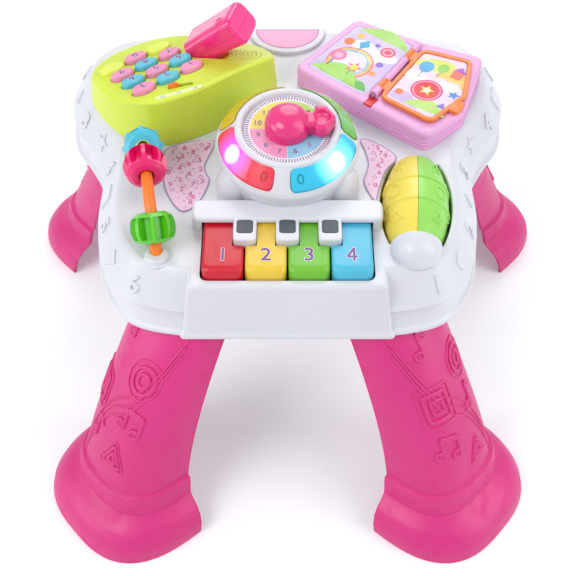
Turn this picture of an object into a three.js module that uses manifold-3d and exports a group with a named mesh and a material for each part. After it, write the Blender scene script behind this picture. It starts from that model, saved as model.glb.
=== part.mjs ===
// Musical activity table for toddlers: a four-legged play table with a phone corner, a book that
// turns a page, a dial with light buttons, a four-key piano, a bead track and a roller.
// Millimetres, +Z up, front toward -Y, standing on z = 0 and centred on its footprint.
import * as THREE from 'three';
import { mergeVertices } from 'three/addons/utils/BufferGeometryUtils.js';
import Module from 'manifold-3d';

const wasm = await Module();
wasm.setup();

// Heights of the table
const playHeight = 236;
const shellDepth = 55;
const lipHeight = playHeight - shellDepth;
const runningGap = 0.4;
const seatGap = 0.3;
const overrun = 6;

// Table outline
const rearHalfWidth = 184;
const frontHalfWidth = 150;
const rearDepth = 164;
const frontDepth = 149;
const rimDepth = 20;
const shellWall = 2.6;

// Piano block in the front edge
const blockWidthShares = [0.4733, 0.52];
const blockTopHalfWidth = frontHalfWidth * blockWidthShares[0];
const blockFootHalfWidth = frontHalfWidth * blockWidthShares[1];
const blockTopInset = 3;
const blockFootProud = 0.5;
const blockReach = 49;
const blockTopFront = frontDepth - blockTopInset;
const blockFootFront = frontDepth + blockFootProud;
const blockRear = frontDepth - blockReach;
const blockRound = 3;

// Piano keys
const keyCount = 4;
const keyPitchShare = 0.2053;
const keyPitch = frontHalfWidth * keyPitchShare;
const keyGap = 1;
const keyRise = 8;
const keyTop = playHeight + keyRise;
const keyFrontDrop = 12;
const keyReachShares = [-0.9, -0.53];
const keyFrontY = frontDepth * keyReachShares[0];
const keyRearY = frontDepth * keyReachShares[1];
const keyRound = 4;
const keyFrontLean = 5;
const keyRodRadius = 2.2;
const keyRodDepth = 4.6;
const keyEyeRadius = 4;
const keyRodOverhang = 4;

// Shelf and bridges over the keys
const shelfOverlap = 14;
const shelfDepth = 21;
const shelfRise = 13.5;
const shelfFrontY = keyRearY - shelfOverlap;
const shelfRearY = shelfFrontY + shelfDepth;
const shelfTop = playHeight + shelfRise;
const shelfThickness = 3.5;
const shelfWidthShare = 0.4667;
const shelfHalfWidth = frontHalfWidth * shelfWidthShare;
const bridgeWidth = 17;
const bridgeReach = 20;
const bridgeRound = 2.5;
const bridgeDrop = 4;
const stripWidth = 11.5;
const stripLength = 13;
const stripDepth = 1.2;
const stripProud = 0.4;

// Dial pod
const dialPlaceShare = -0.215;
const dialRise = 49;
const dialY = frontDepth * dialPlaceShare;
const dialHeight = playHeight + dialRise;
const dialTilt = THREE.MathUtils.degToRad(6.5);
const podBaseRadius = 46;
const podShoulderRadius = 55;
const podShoulderDepth = 19;
const podRingRadius = 39;
const podRingInnerRadius = 33.5;
const podCheekRadius = 18;
const podCheekX = 33;
const podCheekY = -25;
const podCheekDepth = 39;
const podBaseRise = 40;
const podEdge = 3;
const podWall = 8;
const podHollowDepth = 27;
const discDepth = 3.5;
const discThickness = 1.6;

// Light buttons round the dial
const lightInnerRadius = 40;
const lightOuterRadius = 51.5;
const lightSweep = THREE.MathUtils.degToRad(80);
const lightFirst = THREE.MathUtils.degToRad(177);
const lightInnerDrop = 2.5;
const lightOuterDrop = 14;
const lightFrontGap = THREE.MathUtils.degToRad(6);
const lightDepth = 10;
const lightTravel = 2.5;
const lightProud = 1.4;

// Pointer knob
const knobRadius = 17;
const knobHeight = 15;
const knobNeckWidth = 13.5;
const knobNeckHeight = 9;
const knobHeadX = 25.5;
const knobHeadRadius = 11.5;
const knobTipX = 36;
const knobHeadHeight = 11;
const knobDimpleRadius = 6;
const knobDimpleDepth = 4;
const knobEase = 3;
const knobShaftRadius = 5;
const knobShaftLength = 14;

// Phone console, in a frame turned to face the rear left corner
const consoleX = -85;
const consoleY = 55;
const consoleTurn = THREE.MathUtils.degToRad(37);
const consoleHeight = 46;
const consoleFrontReach = 46;
const consoleRearReach = 66;
const consoleLeftReach = 65;
const consoleRightReach = 78;
const consoleSlope = 0.25;
const consoleEndStart = 14;
const consoleDraft = 2.2;
const consoleRound = 3.5;
const consoleEndDrop = 16;
const consoleWall = 2.6;
const buttonPitchX = 22;
const buttonPitchY = 17;
const buttonFirstX = 2.5;
const buttonFirstY = -13;
const buttonLength = 19.5;
const buttonWidth = 12.5;
const buttonProud = 5;
const buttonTravel = 2;
const buttonEase = 1;
const buttonFlange = 1.2;
const buttonFlangeThickness = 1.5;
const matThickness = 1.6;
const matTrim = 2;
const slotX = -18;
const slotY = -29.5;
const slotTurn = THREE.MathUtils.degToRad(-29);
const slotWidth = 5;
const sliderTravel = 11;
const sliderLength = 8;
const sliderProud = 4;
const sliderFootWidth = 7;
const sliderFootThickness = 1.6;
const sliderFootReach = 2;
const matPostRadius = 2;
const grilleHoleRadius = 1.3;
const speakerDrop = 18;
const grilleX = 47;
const grilleY = -16;
const speakerRadius = 14;
const speakerThickness = 9;

// Handset, which leans in a pocket of the console and is placed in the console's frame
const handsetX = 32.8;
const handsetY = 7.8;
const handsetRise = 31.7;
const handsetLean = THREE.MathUtils.degToRad(37);
const handsetReach = 45;
const handsetSunk = 8;
const handsetWidth = 27;
const handsetThickness = 20;
const handsetWaist = 4;
const handsetWall = 2.2;
const handsetEase = 5;
const pocketGap = 0.6;
const pocketWall = 2.2;

// Book, in a frame turned to face the rear right corner
const bookX = 85;
const bookY = 73.5;
const bookTurn = THREE.MathUtils.degToRad(-40);
const bookHalfLength = 70;
const bookHalfDepth = 50;
const bookHeight = 17;
const bookDraft = 3;
const bookRound = 9;
const bookWall = 4;
const grooveCount = 3;
const grooveDepth = 1.3;
const spineX = 6;
const spineY = -2;
const spineTurn = THREE.MathUtils.degToRad(7);
const spineLength = 78;
const pageWidth = 62;
const pageHalfDepth = 41;
const pageRound = 9;
const frameThickness = 3;
const frameBorder = 4;
const cardThickness = 1.2;
const sheetThickness = 0.8;
const sheetInset = 6;
const pinRadius = 1.5;
const knuckleRadius = 3.2;
const knuckleLength = 11;
const pinRise = 2.4;
const pageTabWidth = 14;
const pageTabReach = 5;
const pageTabY = 14;
const pageStart = 5;
const markerX = 12;
const markerY = -49;
const markerWidth = 7;
const markerLength = 11;
const markerThickness = 1.6;

// Bead track, an arch of rod that runs front to rear
const trackPlaceShares = [-0.687, -0.43];
const trackX = frontHalfWidth * trackPlaceShares[0];
const trackY = frontDepth * trackPlaceShares[1];
const trackTurn = THREE.MathUtils.degToRad(9.5);
const trackReach = 55;
const trackRise = 37;
const rodRadius = 4.3;
const postRadius = 8.5;
const postHeight = 5;
const rodSocketDepth = 8;
const beadRadius = 16;
const beadLength = 22;
const beadEndRadius = 11;
const beadCoreRadius = 9;
const beadBore = 5.8;
const beadRibCount = 8;
const beadRibWidth = 2.8;
const beadRingWidth = 3;
const beadAngles = { cyan: -38, magenta: -2, green: 46 };

// Roller
const rollerPlaceShares = [0.643, -0.436];
const rollerSink = 5;
const rollerX = frontHalfWidth * rollerPlaceShares[0];
const rollerY = frontDepth * rollerPlaceShares[1];
const rollerTurn = THREE.MathUtils.degToRad(-4);
const rollerAxisHeight = playHeight - rollerSink;
const rollerRadius = 25;
const rollerEndRadius = 16;
const rollerLength = 84;
const rollerWall = 3;
const rollerGap = 2;
const ridgeHeight = 1.2;
const ridgeWidth = 2.4;
const ridgeSpacing = 22;
const axleRadius = 3;
const hoodRadius = 19;
const hoodLength = 20;
const hoodHeight = 18;
const axleSeat = 2;

// Legs
const legWall = 3;
const footHalfWidth = 69;
const footDepth = 79;
const frontLegShares = [0.78, 1.074];
const frontLegX = frontHalfWidth * frontLegShares[0];
const frontLegY = frontDepth * frontLegShares[1];
const frontLegTurn = THREE.MathUtils.degToRad(221);
const rearLegShares = [0.883, 0.729];
const rearLegX = rearHalfWidth * rearLegShares[0];
const rearLegY = rearDepth * rearLegShares[1];
const rearLegTurn = THREE.MathUtils.degToRad(135.5);
const footHeight = 33;
const legRoundness = 0.72;
const leanEase = 1.4;
const bandHeight = 17;
const ankleHalfWidth = 50;
const ankleDepth = 59;
const bandProud = 2;
const hipHalfWidth = 44;
const hipDepth = 41;
const frontHipLean = 71;
const rearHipLean = 64;
const ankleLean = 7;
const hipShift = 11;
const tenonHeight = 16;
const tenonInset = 9;
const shoulderThickness = 4;

// Nameplate and printed panels
const plateInset = 21;
const plateY = rearDepth - plateInset;
const plateHalfWidth = 27;
const plateDepth = 25;
const platePadMargin = 6;
const platePadRaise = 3;
const plateThickness = 1.6;
const panelThickness = 0.8;

// Bottom shell, batteries and electronics
const closeThickness = 3;
const closeInset = 6.2;
const socketWall = 2.4;
const batteryRadius = 7.2;
const batteryLength = 50;
const batteryPitch = 16;
const batteryY = 20;
const boxWall = 2;
const boxHeight = 19;
const doorThickness = 2.4;
const doorMargin = 3;
const boardLength = 90;
const boardWidth = 60;
const boardThickness = 1.6;
const boardRise = 29;
const boardHeight = lipHeight + boardRise;
const boardBossRadius = 3.5;

// Rim of the top shell
const lipRoll = 3;
const lipProud = 3;
const skirtDraft = 1;
const rimFootDrop = 28;
const rimFootHeight = playHeight - rimFootDrop;
const rimRoll = 2;
const rimTopDrop = 5;
const rimTop = playHeight - rimTopDrop;
const rimEase = 4;

// Facet counts and welding
const outlineCount = 44;
const wheelCount = 16;
const dialCount = 32;
const sectionCount = 10;
const archCount = 12;
const archSteps = 18;
const legCount = 8;
const ovalCount = 10;
const cornerCount = 2;
const weldDistance = 0.0005;

// Stations and crowns of curved pieces, as shares of the sizes they follow
const rollerFullness = 0.7;
const openingStationShares = [0.9, 0.7, 0.4];
const rollerOuterShares = [1, 0.85, 0.65];
const rollerInnerShares = [0.7, 0];
const keyBendShare = 0.6;
const wedgeReachShare = 1.4;
const beadShoulderShares = [0.9, 0.7];
const beadCrownShare = 0.3;
const postCrownShares = [[1, 0], [0.95, 0.5], [0.75, 1]];
const knobDomeShares = [[1, 0.25], [0.93, 0.55], [0.72, 0.82], [0.38, 0.97], [0, 1]];
const buttonCrownShares = [[0.6, 0], [0.88, 0.5], [1, 1.6]];
const dummyCrownShares = [[0.4, 0], [0.7, 1], [0.8, 2.4]];
const grilleRings = [{ count: 5, reachShare: 0.45 }, { count: 9, reachShare: 0.78 }];
const grooveSpanShare = 0.7;
const grooveFirstShare = 0.6;
const handsetStationShares = [0, 0.3, 0.5, 0.7, 1];
const handsetEndShare = 0.8;
const handsetSideShare = 0.4;

// Outlines as shares of the sizes they follow, front half and rear half of the table
const frontOutlineShares = [[0, -1], [0.5, -0.995], [0.78, -0.915], [0.93, -0.7], [0.99, -0.38],
  [1, -0.02]];
const rearOutlineShares = [[0.885, 0.155], [0.965, 0.3], [1, 0.52], [0.96, 0.73], [0.84, 0.88],
  [0.62, 0.955],
  [0.3, 0.995], [0, 1]];
const consoleOutlineShares = [[-0.35, -0.96], [0.05, -1], [0.82, -0.8], [0.97, -0.56], [1, -0.1],
  [0.83, 0.3],
  [0.41, 0.77], [-0.01, 0.99], [-0.54, 0.98], [-0.89, 0.75], [-1, 0.29], [-0.96, -0.21], [-0.7, -0.78]];
const consoleCapShares = [1, 0.6, 0.2];
const bookOutlineShares = [[-0.89, -1], [1, -0.97], [1.08, -0.1], [0.72, 1.22], [0, 0.9], [-0.9, 0.7]];
const leftSheetShares = [[-0.79, -0.84], [0.06, -0.84], [-0.04, 0.72], [-0.8, 0.56]];
const pageOutlineShares = [[0, -0.9], [0.87, -1.02], [1.03, 0.02], [0.74, 1.07], [0, 0.86]];
const leftPanelShares = [[-0.387, 0.034], [-0.635, -0.036], [-0.637, -0.157], [-0.635, -0.26],
  [-0.607, -0.368],
  [-0.525, -0.488], [-0.462, -0.453], [-0.395, -0.268], [-0.413, -0.216], [-0.425, -0.164]];
const rightPanelShares = [[0.383, 0.04], [0.4, -0.04], [0.416, -0.141], [0.403, -0.208], [0.387, -0.275],
  [0.411, -0.369], [0.44, -0.423], [0.467, -0.322], [0.507, -0.195], [0.567, -0.094], [0.413, 0.047]];
const footRiseShares = [0, 0.12, 0.35, 0.58, 0.77, 0.9, 1];
const footSpreadShares = [1, 1, 0.97, 0.82, 0.55, 0.22, 0.02];
const shankRiseShares = [0.2, 0.45, 0.75];

// Materials
const plastic = (color, roughness = 0.35) => new THREE.MeshStandardMaterial({ color, roughness,
  metalness: 0 });
const clearPlastic = (color) => new THREE.MeshStandardMaterial({ color, roughness: 0.15, transparent: true,
  opacity: 0.8 });
const whitePlastic = plastic(0xf0f0f5, 0.3);
const pinkPlastic = plastic(0xde3c82, 0.45);
const limePlastic = plastic(0xc3d737);
const bookPlastic = plastic(0xdc96cd);
const orangePlastic = plastic(0xf57d28);
const magentaPlastic = plastic(0xe11e6e);
const buttonPink = plastic(0xf096be, 0.5);
const buttonCyan = plastic(0x5ac3dc, 0.5);
const darkPlastic = plastic(0x3c4650, 0.5);
const steel = new THREE.MeshStandardMaterial({ color: 0xb8b8bc, roughness: 0.3, metalness: 1 });
const rubber = plastic(0xd8d8d8, 0.8);
const print = plastic(0xf0cde6, 0.4);

// Closed solid from a geometry, with its shared corners merged
function solidOf(geometry) {
  const bare = geometry.clone();
  bare.deleteAttribute('normal');
  bare.deleteAttribute('uv');
  const merged = mergeVertices(bare, weldDistance);
  const corners = merged.index.array;
  const triVerts = [];
  for (let i = 0; i < corners.length; i += 3) {
    const [a, b, c] = corners.subarray(i, i + 3);
    if (a !== b && b !== c && c !== a) triVerts.push(a, b, c);
  }
  return new wasm.Manifold(new wasm.Mesh({
    numProp: 3,
    vertProperties: new Float32Array(merged.attributes.position.array),
    triVerts: new Uint32Array(triVerts),
  }));
}

const join = (...solids) => solids.reduce((all, next) => all.add(next));
const cut = (body, ...tools) => tools.reduce((left, tool) => left.subtract(tool), body);

// Named mesh from a solid
function piece(name, body, material) {
  const data = body.getMesh();
  const geometry = new THREE.BufferGeometry();
  geometry.setAttribute('position', new THREE.BufferAttribute(data.vertProperties, 3));
  geometry.setIndex(new THREE.BufferAttribute(data.triVerts, 1));
  geometry.computeVertexNormals();
  const mesh = new THREE.Mesh(geometry, material);
  mesh.name = name;
  return mesh;
}

// Group that holds meshes at a place and a turn about +Z
function frameAt(x, y, z, turn = 0) {
  const group = new THREE.Group();
  group.position.set(x, y, z);
  group.rotation.z = turn;
  return group;
}

// Geometry moved from a group's frame to its parent's
function inFrame(geometry, group) {
  group.updateMatrix();
  return geometry.applyMatrix4(group.matrix);
}

// Box from its low corner to its high corner
function boxOf(x0, x1, y0, y1, z0, z1) {
  return new THREE.BoxGeometry(x1 - x0, y1 - y0, z1 - z0).translate((x0 + x1) / 2, (y0 + y1) / 2,
    (z0 + z1) / 2);
}

// Upright cylinder from one height to another
function discOf(radius, x, y, z0, z1, count = wheelCount) {
  return new THREE.CylinderGeometry(radius, radius, z1 - z0, count).rotateX(Math.PI / 2)
    .translate(x, y, (z0 + z1) / 2);
}

// Solid skin through rings of points, each counter-clockwise seen from its far end
function loft(rings) {
  const count = rings[0].length;
  const middle = (ring) => ring.reduce((sum, p) => sum.add(p), new THREE.Vector3()).divideScalar(count);
  const points = [...rings.flat(), middle(rings[0]), middle(rings.at(-1))];
  const low = rings.length * count;
  const last = low - count;
  const indices = [];
  for (let i = 0; i < count; i += 1) {
    const next = (i + 1) % count;
    for (let base = 0; base < last; base += count) {
      indices.push(base + i, base + next, base + count + next);
      indices.push(base + i, base + count + next, base + count + i);
    }
    indices.push(low, next, i);
    indices.push(low + 1, last + i, last + next);
  }
  const geometry = new THREE.BufferGeometry();
  geometry.setFromPoints(points);
  geometry.setIndex(indices);
  return geometry;
}

// Ring of points at one height, moved inward by an inset
function ringAt(outline, z, inset = 0) {
  const count = outline.length;
  return outline.map((point, i) => {
    const along = outline[(i + 1) % count].clone().sub(outline[(i + count - 1) % count]).normalize();
    return new THREE.Vector3(point.x - along.y * inset, point.y + along.x * inset, z);
  });
}

// Polygon with its corners rounded, as points
function roundedOutline(corners, radius) {
  const count = corners.length;
  const points = [];
  corners.forEach((corner, i) => {
    const before = corners[(i + count - 1) % count].clone().sub(corner).normalize();
    const after = corners[(i + 1) % count].clone().sub(corner).normalize();
    const half = Math.acos(THREE.MathUtils.clamp(before.dot(after), -1, 1)) / 2;
    const reach = radius / Math.tan(half);
    const start = corner.clone().addScaledVector(before, reach);
    const end = corner.clone().addScaledVector(after, reach);
    const bend = new THREE.QuadraticBezierCurve(start, corner, end);
    points.push(...bend.getPoints(cornerCount));
  });
  return points;
}

const vector = (x, y) => new THREE.Vector2(x, y);
const rectangle = (x0, x1, y0, y1) => [vector(x0, y0), vector(x1, y0), vector(x1, y1), vector(x0, y1)];

// Smooth closed outline through points
function smoothOutline(points, count) {
  const curve = new THREE.CatmullRomCurve3(points.map((p) => new THREE.Vector3(p.x, p.y, 0)), true,
    'centripetal');
  return curve.getPoints(count).slice(0, -1).map((p) => vector(p.x, p.y));
}

// Oval as points
function oval(length, width, count = ovalCount) {
  return new THREE.EllipseCurve(0, 0, length / 2, width / 2).getPoints(count).slice(0, -1);
}

// Revolved solid whose axis stands along +Z
function turned(profile, count = wheelCount) {
  return new THREE.LatheGeometry(profile.map(([r, z]) => vector(r, z)), count).rotateX(Math.PI / 2);
}

// Table body

function tableOutline() {
  const front = frontOutlineShares.map(([x, y]) => vector(x * frontHalfWidth, y * frontDepth));
  const rear = rearOutlineShares.map(([x, y]) => vector(x * rearHalfWidth, y * rearDepth));
  const right = [...front, ...rear];
  const left = right.slice(1, -1).reverse().map((point) => vector(-point.x, point.y));
  return smoothOutline([...right, ...left], outlineCount);
}

// Skin of the top: rolled lip, skirt, step, sloping rim and play surface
function rimSkin(outline) {
  return solidOf(loft([
    ringAt(outline, lipHeight, lipProud / 2),
    ringAt(outline, lipHeight + lipRoll / 2),
    ringAt(outline, lipHeight + lipRoll * 1.5),
    ringAt(outline, lipHeight + lipRoll * 2.5, lipProud),
    ringAt(outline, rimFootHeight - rimRoll, lipProud + skirtDraft),
    ringAt(outline, rimFootHeight, lipProud - skirtDraft),
    ringAt(outline, rimFootHeight + rimRoll, lipProud),
    ringAt(outline, rimTop, rimDepth - rimEase),
    ringAt(outline, playHeight - rimTopDrop / 3, rimDepth - rimRoll / 2),
    ringAt(outline, playHeight, rimDepth + rimRoll),
  ]));
}

function rimCavity(outline) {
  return solidOf(loft([
    ringAt(outline, lipHeight - overrun, lipProud + shellWall),
    ringAt(outline, rimFootHeight - rimRoll, lipProud + skirtDraft + shellWall),
    ringAt(outline, rimTop - shellWall, rimDepth - rimEase + shellWall),
    ringAt(outline, playHeight - shellWall, rimDepth + rimRoll + shellWall),
  ]));
}

// Section of the piano block at a height, with draft from foot to top
function blockRing(z, grow) {
  const rise = (z - lipHeight) / (playHeight - lipHeight);
  const halfWidth = THREE.MathUtils.lerp(blockFootHalfWidth, blockTopHalfWidth, rise) + grow;
  const front = THREE.MathUtils.lerp(blockFootFront, blockTopFront, rise) + grow;
  const corners = rectangle(-halfWidth, halfWidth, -front, -blockRear);
  return ringAt(roundedOutline(corners, blockRound), z);
}

function blockSkin() {
  return solidOf(loft([
    blockRing(lipHeight, 0),
    blockRing(lipHeight + lipRoll / 2, lipProud / 2),
    blockRing(lipHeight + lipRoll * 1.5, lipProud / 2),
    blockRing(lipHeight + lipRoll * 2.5, 0),
    blockRing(playHeight - blockRound, 0),
    blockRing(playHeight - blockRound / 3, -blockRound / 3),
    blockRing(playHeight, -blockRound),
  ]));
}

function blockCavity() {
  const top = playHeight - shellWall;
  return solidOf(loft([blockRing(lipHeight - overrun, -shellWall), blockRing(top, -shellWall)]));
}

const keysHalfWidth = (keyCount * keyPitch) / 2;
const hingeY = keyRearY - keyEyeRadius;
const hingeZ = keyTop - keyRodDepth;
const bridgePlaces = Array.from({ length: keyCount - 1 }, (_, i) => (i + 1) * keyPitch - keysHalfWidth);
const bridgeFrontY = shelfFrontY - bridgeReach;
const shelfUnderside = shelfTop - shelfThickness;

// Shelf over the key hinges, with a white bridge over each meeting of two keys
function keyShelf() {
  const shelf = roundedOutline(rectangle(-shelfHalfWidth, shelfHalfWidth, shelfFrontY, shelfRearY),
    bridgeRound);
  const bar = loft([
    ringAt(shelf, playHeight - shellWall),
    ringAt(shelf, shelfTop - bridgeRound / 2),
    ringAt(shelf, shelfTop, bridgeRound / 2),
  ]);
  const bridges = bridgePlaces.flatMap((x) => {
    const slab = rectangle(x - bridgeWidth / 2, x + bridgeWidth / 2, bridgeFrontY,
      shelfFrontY + shelfThickness);
    const drop = rectangle(x - bridgeWidth / 2, x + bridgeWidth / 2, bridgeFrontY, shelfFrontY);
    const slabOutline = roundedOutline(slab, bridgeRound / 2);
    return [
      loft([ringAt(slabOutline, shelfUnderside), ringAt(slabOutline, shelfTop - stripProud)]),
      loft([
        ringAt(roundedOutline(drop, bridgeRound / 2), keyTop - bridgeDrop),
        ringAt(roundedOutline(drop, bridgeRound / 2), shelfTop - bridgeRound / 2),
      ]),
    ];
  });
  return join(...[bar, ...bridges].map(solidOf));
}

// Opening that the keys lie in, under the shelf
function keyOpening() {
  const halfWidth = keysHalfWidth + keyGap;
  const rearY = keyRearY + runningGap * 3;
  const low = playHeight - shellWall - overrun;
  const under = boxOf(-halfWidth, halfWidth, shelfFrontY, rearY, low, shelfUnderside);
  const front = boxOf(-halfWidth, halfWidth, keyFrontY - keyFrontLean - keyGap, shelfFrontY + overrun / 2,
    low,
    keyTop - bridgeDrop);
  return join(solidOf(under), solidOf(front));
}

function stripRecess(x) {
  return boxOf(x - stripWidth / 2 - seatGap, x + stripWidth / 2 + seatGap,
    shelfFrontY - stripLength - seatGap,
    shelfFrontY, shelfTop - stripProud - stripDepth, shelfTop + overrun);
}

function keyRodBore() {
  const halfLength = keysHalfWidth + keyRodOverhang + seatGap;
  return new THREE.CylinderGeometry(keyRodRadius + seatGap, keyRodRadius + seatGap, halfLength * 2,
    sectionCount)
    .rotateZ(Math.PI / 2).translate(0, hingeY, hingeZ);
}

const rollerFrame = frameAt(rollerX, rollerY, rollerAxisHeight, rollerTurn);
const wellHalfWidth = rollerRadius + rollerGap;
const wellHalfLength = rollerLength / 2 + rollerGap;
const playOverRoller = playHeight - rollerAxisHeight;

function rollerWell() {
  const low = -rollerRadius - rollerGap - shellWall;
  const halfWidth = wellHalfWidth + shellWall;
  const halfLength = wellHalfLength + shellWall;
  const high = playOverRoller - shellWall / 2;
  return solidOf(inFrame(boxOf(-halfWidth, halfWidth, -halfLength, halfLength, low, high), rollerFrame));
}

// Radius of the roller at a distance from its middle
function rollerSwell(y) {
  const share = THREE.MathUtils.clamp(Math.abs(y) / (rollerLength / 2), 0, 1);
  const fullness = Math.cos((share * Math.PI) / 2) ** rollerFullness;
  return rollerEndRadius + (rollerRadius - rollerEndRadius) * fullness;
}

// Opening that follows the roller's outline
function rollerOpening() {
  const rear = [0, ...[...openingStationShares].reverse(), 1];
  const stations = [...rear.slice(1).reverse().map((share) => -share), ...rear];
  const edge = (side) => stations.map((share) => vector(
    side * (rollerSwell(share * wellHalfLength) + rollerGap), side * share * wellHalfLength));
  const outline = [...edge(1), ...edge(-1)];
  const low = -rollerRadius - rollerGap;
  const hole = loft([ringAt(outline, low), ringAt(outline, rollerRadius + rollerGap)]);
  return solidOf(inFrame(hole, rollerFrame));
}

function axleOf(radius, halfLength) {
  return new THREE.CylinderGeometry(radius, radius, halfLength * 2, sectionCount);
}

// Smooth hood over the front end of the roller
function rollerHood() {
  const dome = new THREE.SphereGeometry(1, wheelCount, sectionCount).scale(hoodRadius, hoodLength,
    hoodHeight)
    .translate(0, -wellHalfLength, playOverRoller);
  const keep = boxOf(-hoodRadius * 2, hoodRadius * 2, -wellHalfLength - hoodLength * 2, -wellHalfLength,
    playOverRoller - shellWall / 2, playOverRoller + hoodHeight * 2);
  return solidOf(inFrame(dome, rollerFrame)).intersect(solidOf(inFrame(keep, rollerFrame)));
}

const trackFrame = frameAt(trackX, trackY, playHeight, trackTurn);
const trackRadius = (trackReach ** 2 + trackRise ** 2) / (trackRise * 2);
const trackCentre = trackRise - trackRadius;

// Arch of rod through its two sockets
function rodArch(radius) {
  const end = Math.acos((-rodSocketDepth - trackCentre) / trackRadius);
  const steps = Array.from({ length: archCount }, (_, i) => end * ((2 * i) / (archCount - 1) - 1));
  const path = new THREE.CatmullRomCurve3(steps.map((angle) => new THREE.Vector3(
    0, trackRadius * Math.sin(angle), trackCentre + trackRadius * Math.cos(angle))));
  const section = new THREE.Shape(oval(radius * 2, radius * 2, sectionCount));
  return new THREE.ExtrudeGeometry(section, { extrudePath: path, steps: archSteps });
}

function trackPosts() {
  const foot = -rodSocketDepth - shellWall;
  const crown = postCrownShares.map(([across, up]) => [postRadius * across, postHeight * up]);
  const profile = [[0, foot], [postRadius, foot], ...crown, [0, postHeight]];
  return [-trackReach, trackReach].map((y) => solidOf(inFrame(turned(profile).translate(0, y, 0),
    trackFrame)));
}

// Lens outline of the nameplate, flat to the rear
function plateOutline(grow) {
  const rim = new THREE.EllipseCurve(0, 0, plateHalfWidth + grow, plateDepth + grow, Math.PI, Math.PI * 2);
  const front = rim.getPoints(sectionCount).map((p) => vector(p.x, p.y + plateY));
  const rear = plateY + grow / 2;
  return [...front, vector(plateHalfWidth + grow, rear), vector(-plateHalfWidth - grow, rear)];
}

function platePad() {
  const outline = plateOutline(platePadMargin);
  return solidOf(loft([
    ringAt(outline, playHeight - shellWall / 2),
    ringAt(outline, playHeight + platePadRaise / 2),
    ringAt(outline, playHeight + platePadRaise, platePadRaise / 2),
  ]));
}

function plateRecess() {
  const floor = playHeight + platePadRaise - plateThickness;
  return solidOf(loft([ringAt(plateOutline(seatGap), floor),
    ringAt(plateOutline(seatGap), floor + overrun)]));
}

function topShell() {
  const outline = tableOutline();
  const skin = cut(join(rimSkin(outline), blockSkin()), rimCavity(outline), blockCavity());
  const moulded = join(skin, keyShelf(), rollerWell(), rollerHood(), ...trackPosts(), platePad());
  const axleHole = axleOf(axleRadius + seatGap, wellHalfLength + axleSeat + seatGap);
  const body = cut(moulded, keyOpening(), solidOf(keyRodBore()),
    ...bridgePlaces.map((x) => solidOf(stripRecess(x))),
    rollerOpening(), solidOf(inFrame(axleHole, rollerFrame)),
    solidOf(inFrame(rodArch(rodRadius + seatGap), trackFrame)), plateRecess());
  return piece('top_shell', body, whitePlastic);
}

// Bottom shell with leg sockets, battery box and board bosses

const legPlaces = [
  { name: 'leg_front_left', x: -frontLegX, y: -frontLegY, turn: frontLegTurn, side: 1, lean: frontHipLean },
  { name: 'leg_front_right', x: frontLegX, y: -frontLegY, turn: Math.PI - frontLegTurn, side: -1,
    lean: frontHipLean },
  { name: 'leg_rear_left', x: -rearLegX, y: rearLegY, turn: rearLegTurn, side: 1, lean: rearHipLean },
  { name: 'leg_rear_right', x: rearLegX, y: rearLegY, turn: Math.PI - rearLegTurn, side: -1,
    lean: rearHipLean },
];
const batteryPlaces = [-batteryPitch / 2, batteryPitch / 2];
const boxHalfWidth = batteryLength / 2 + boxWall;
const boxHalfDepth = batteryPitch / 2 + batteryRadius + boxWall;

// Outline of a leg's section: a deep arc whose open side faces the table's middle
function legArc(lean, shift, halfWidth, depth, squareness = 0) {
  return Array.from({ length: legCount + 1 }, (_, i) => {
    const angle = Math.PI * (i / legCount - 0.5);
    const power = THREE.MathUtils.lerp(1, legRoundness, squareness);
    const bulge = (value) => Math.sign(value) * Math.abs(value) ** power;
    return vector(lean + depth * bulge(Math.cos(angle)), shift + halfWidth * bulge(Math.sin(angle)));
  });
}

function socketSolid(place, grow, low, high) {
  const arc = legArc(-place.lean - grow, -hipShift * place.side, hipHalfWidth - tenonInset + grow,
    hipDepth - tenonInset + grow * 2);
  return solidOf(inFrame(loft([ringAt(arc, low), ringAt(arc, high)]),
    frameAt(place.x, place.y, 0, place.turn)));
}

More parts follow.
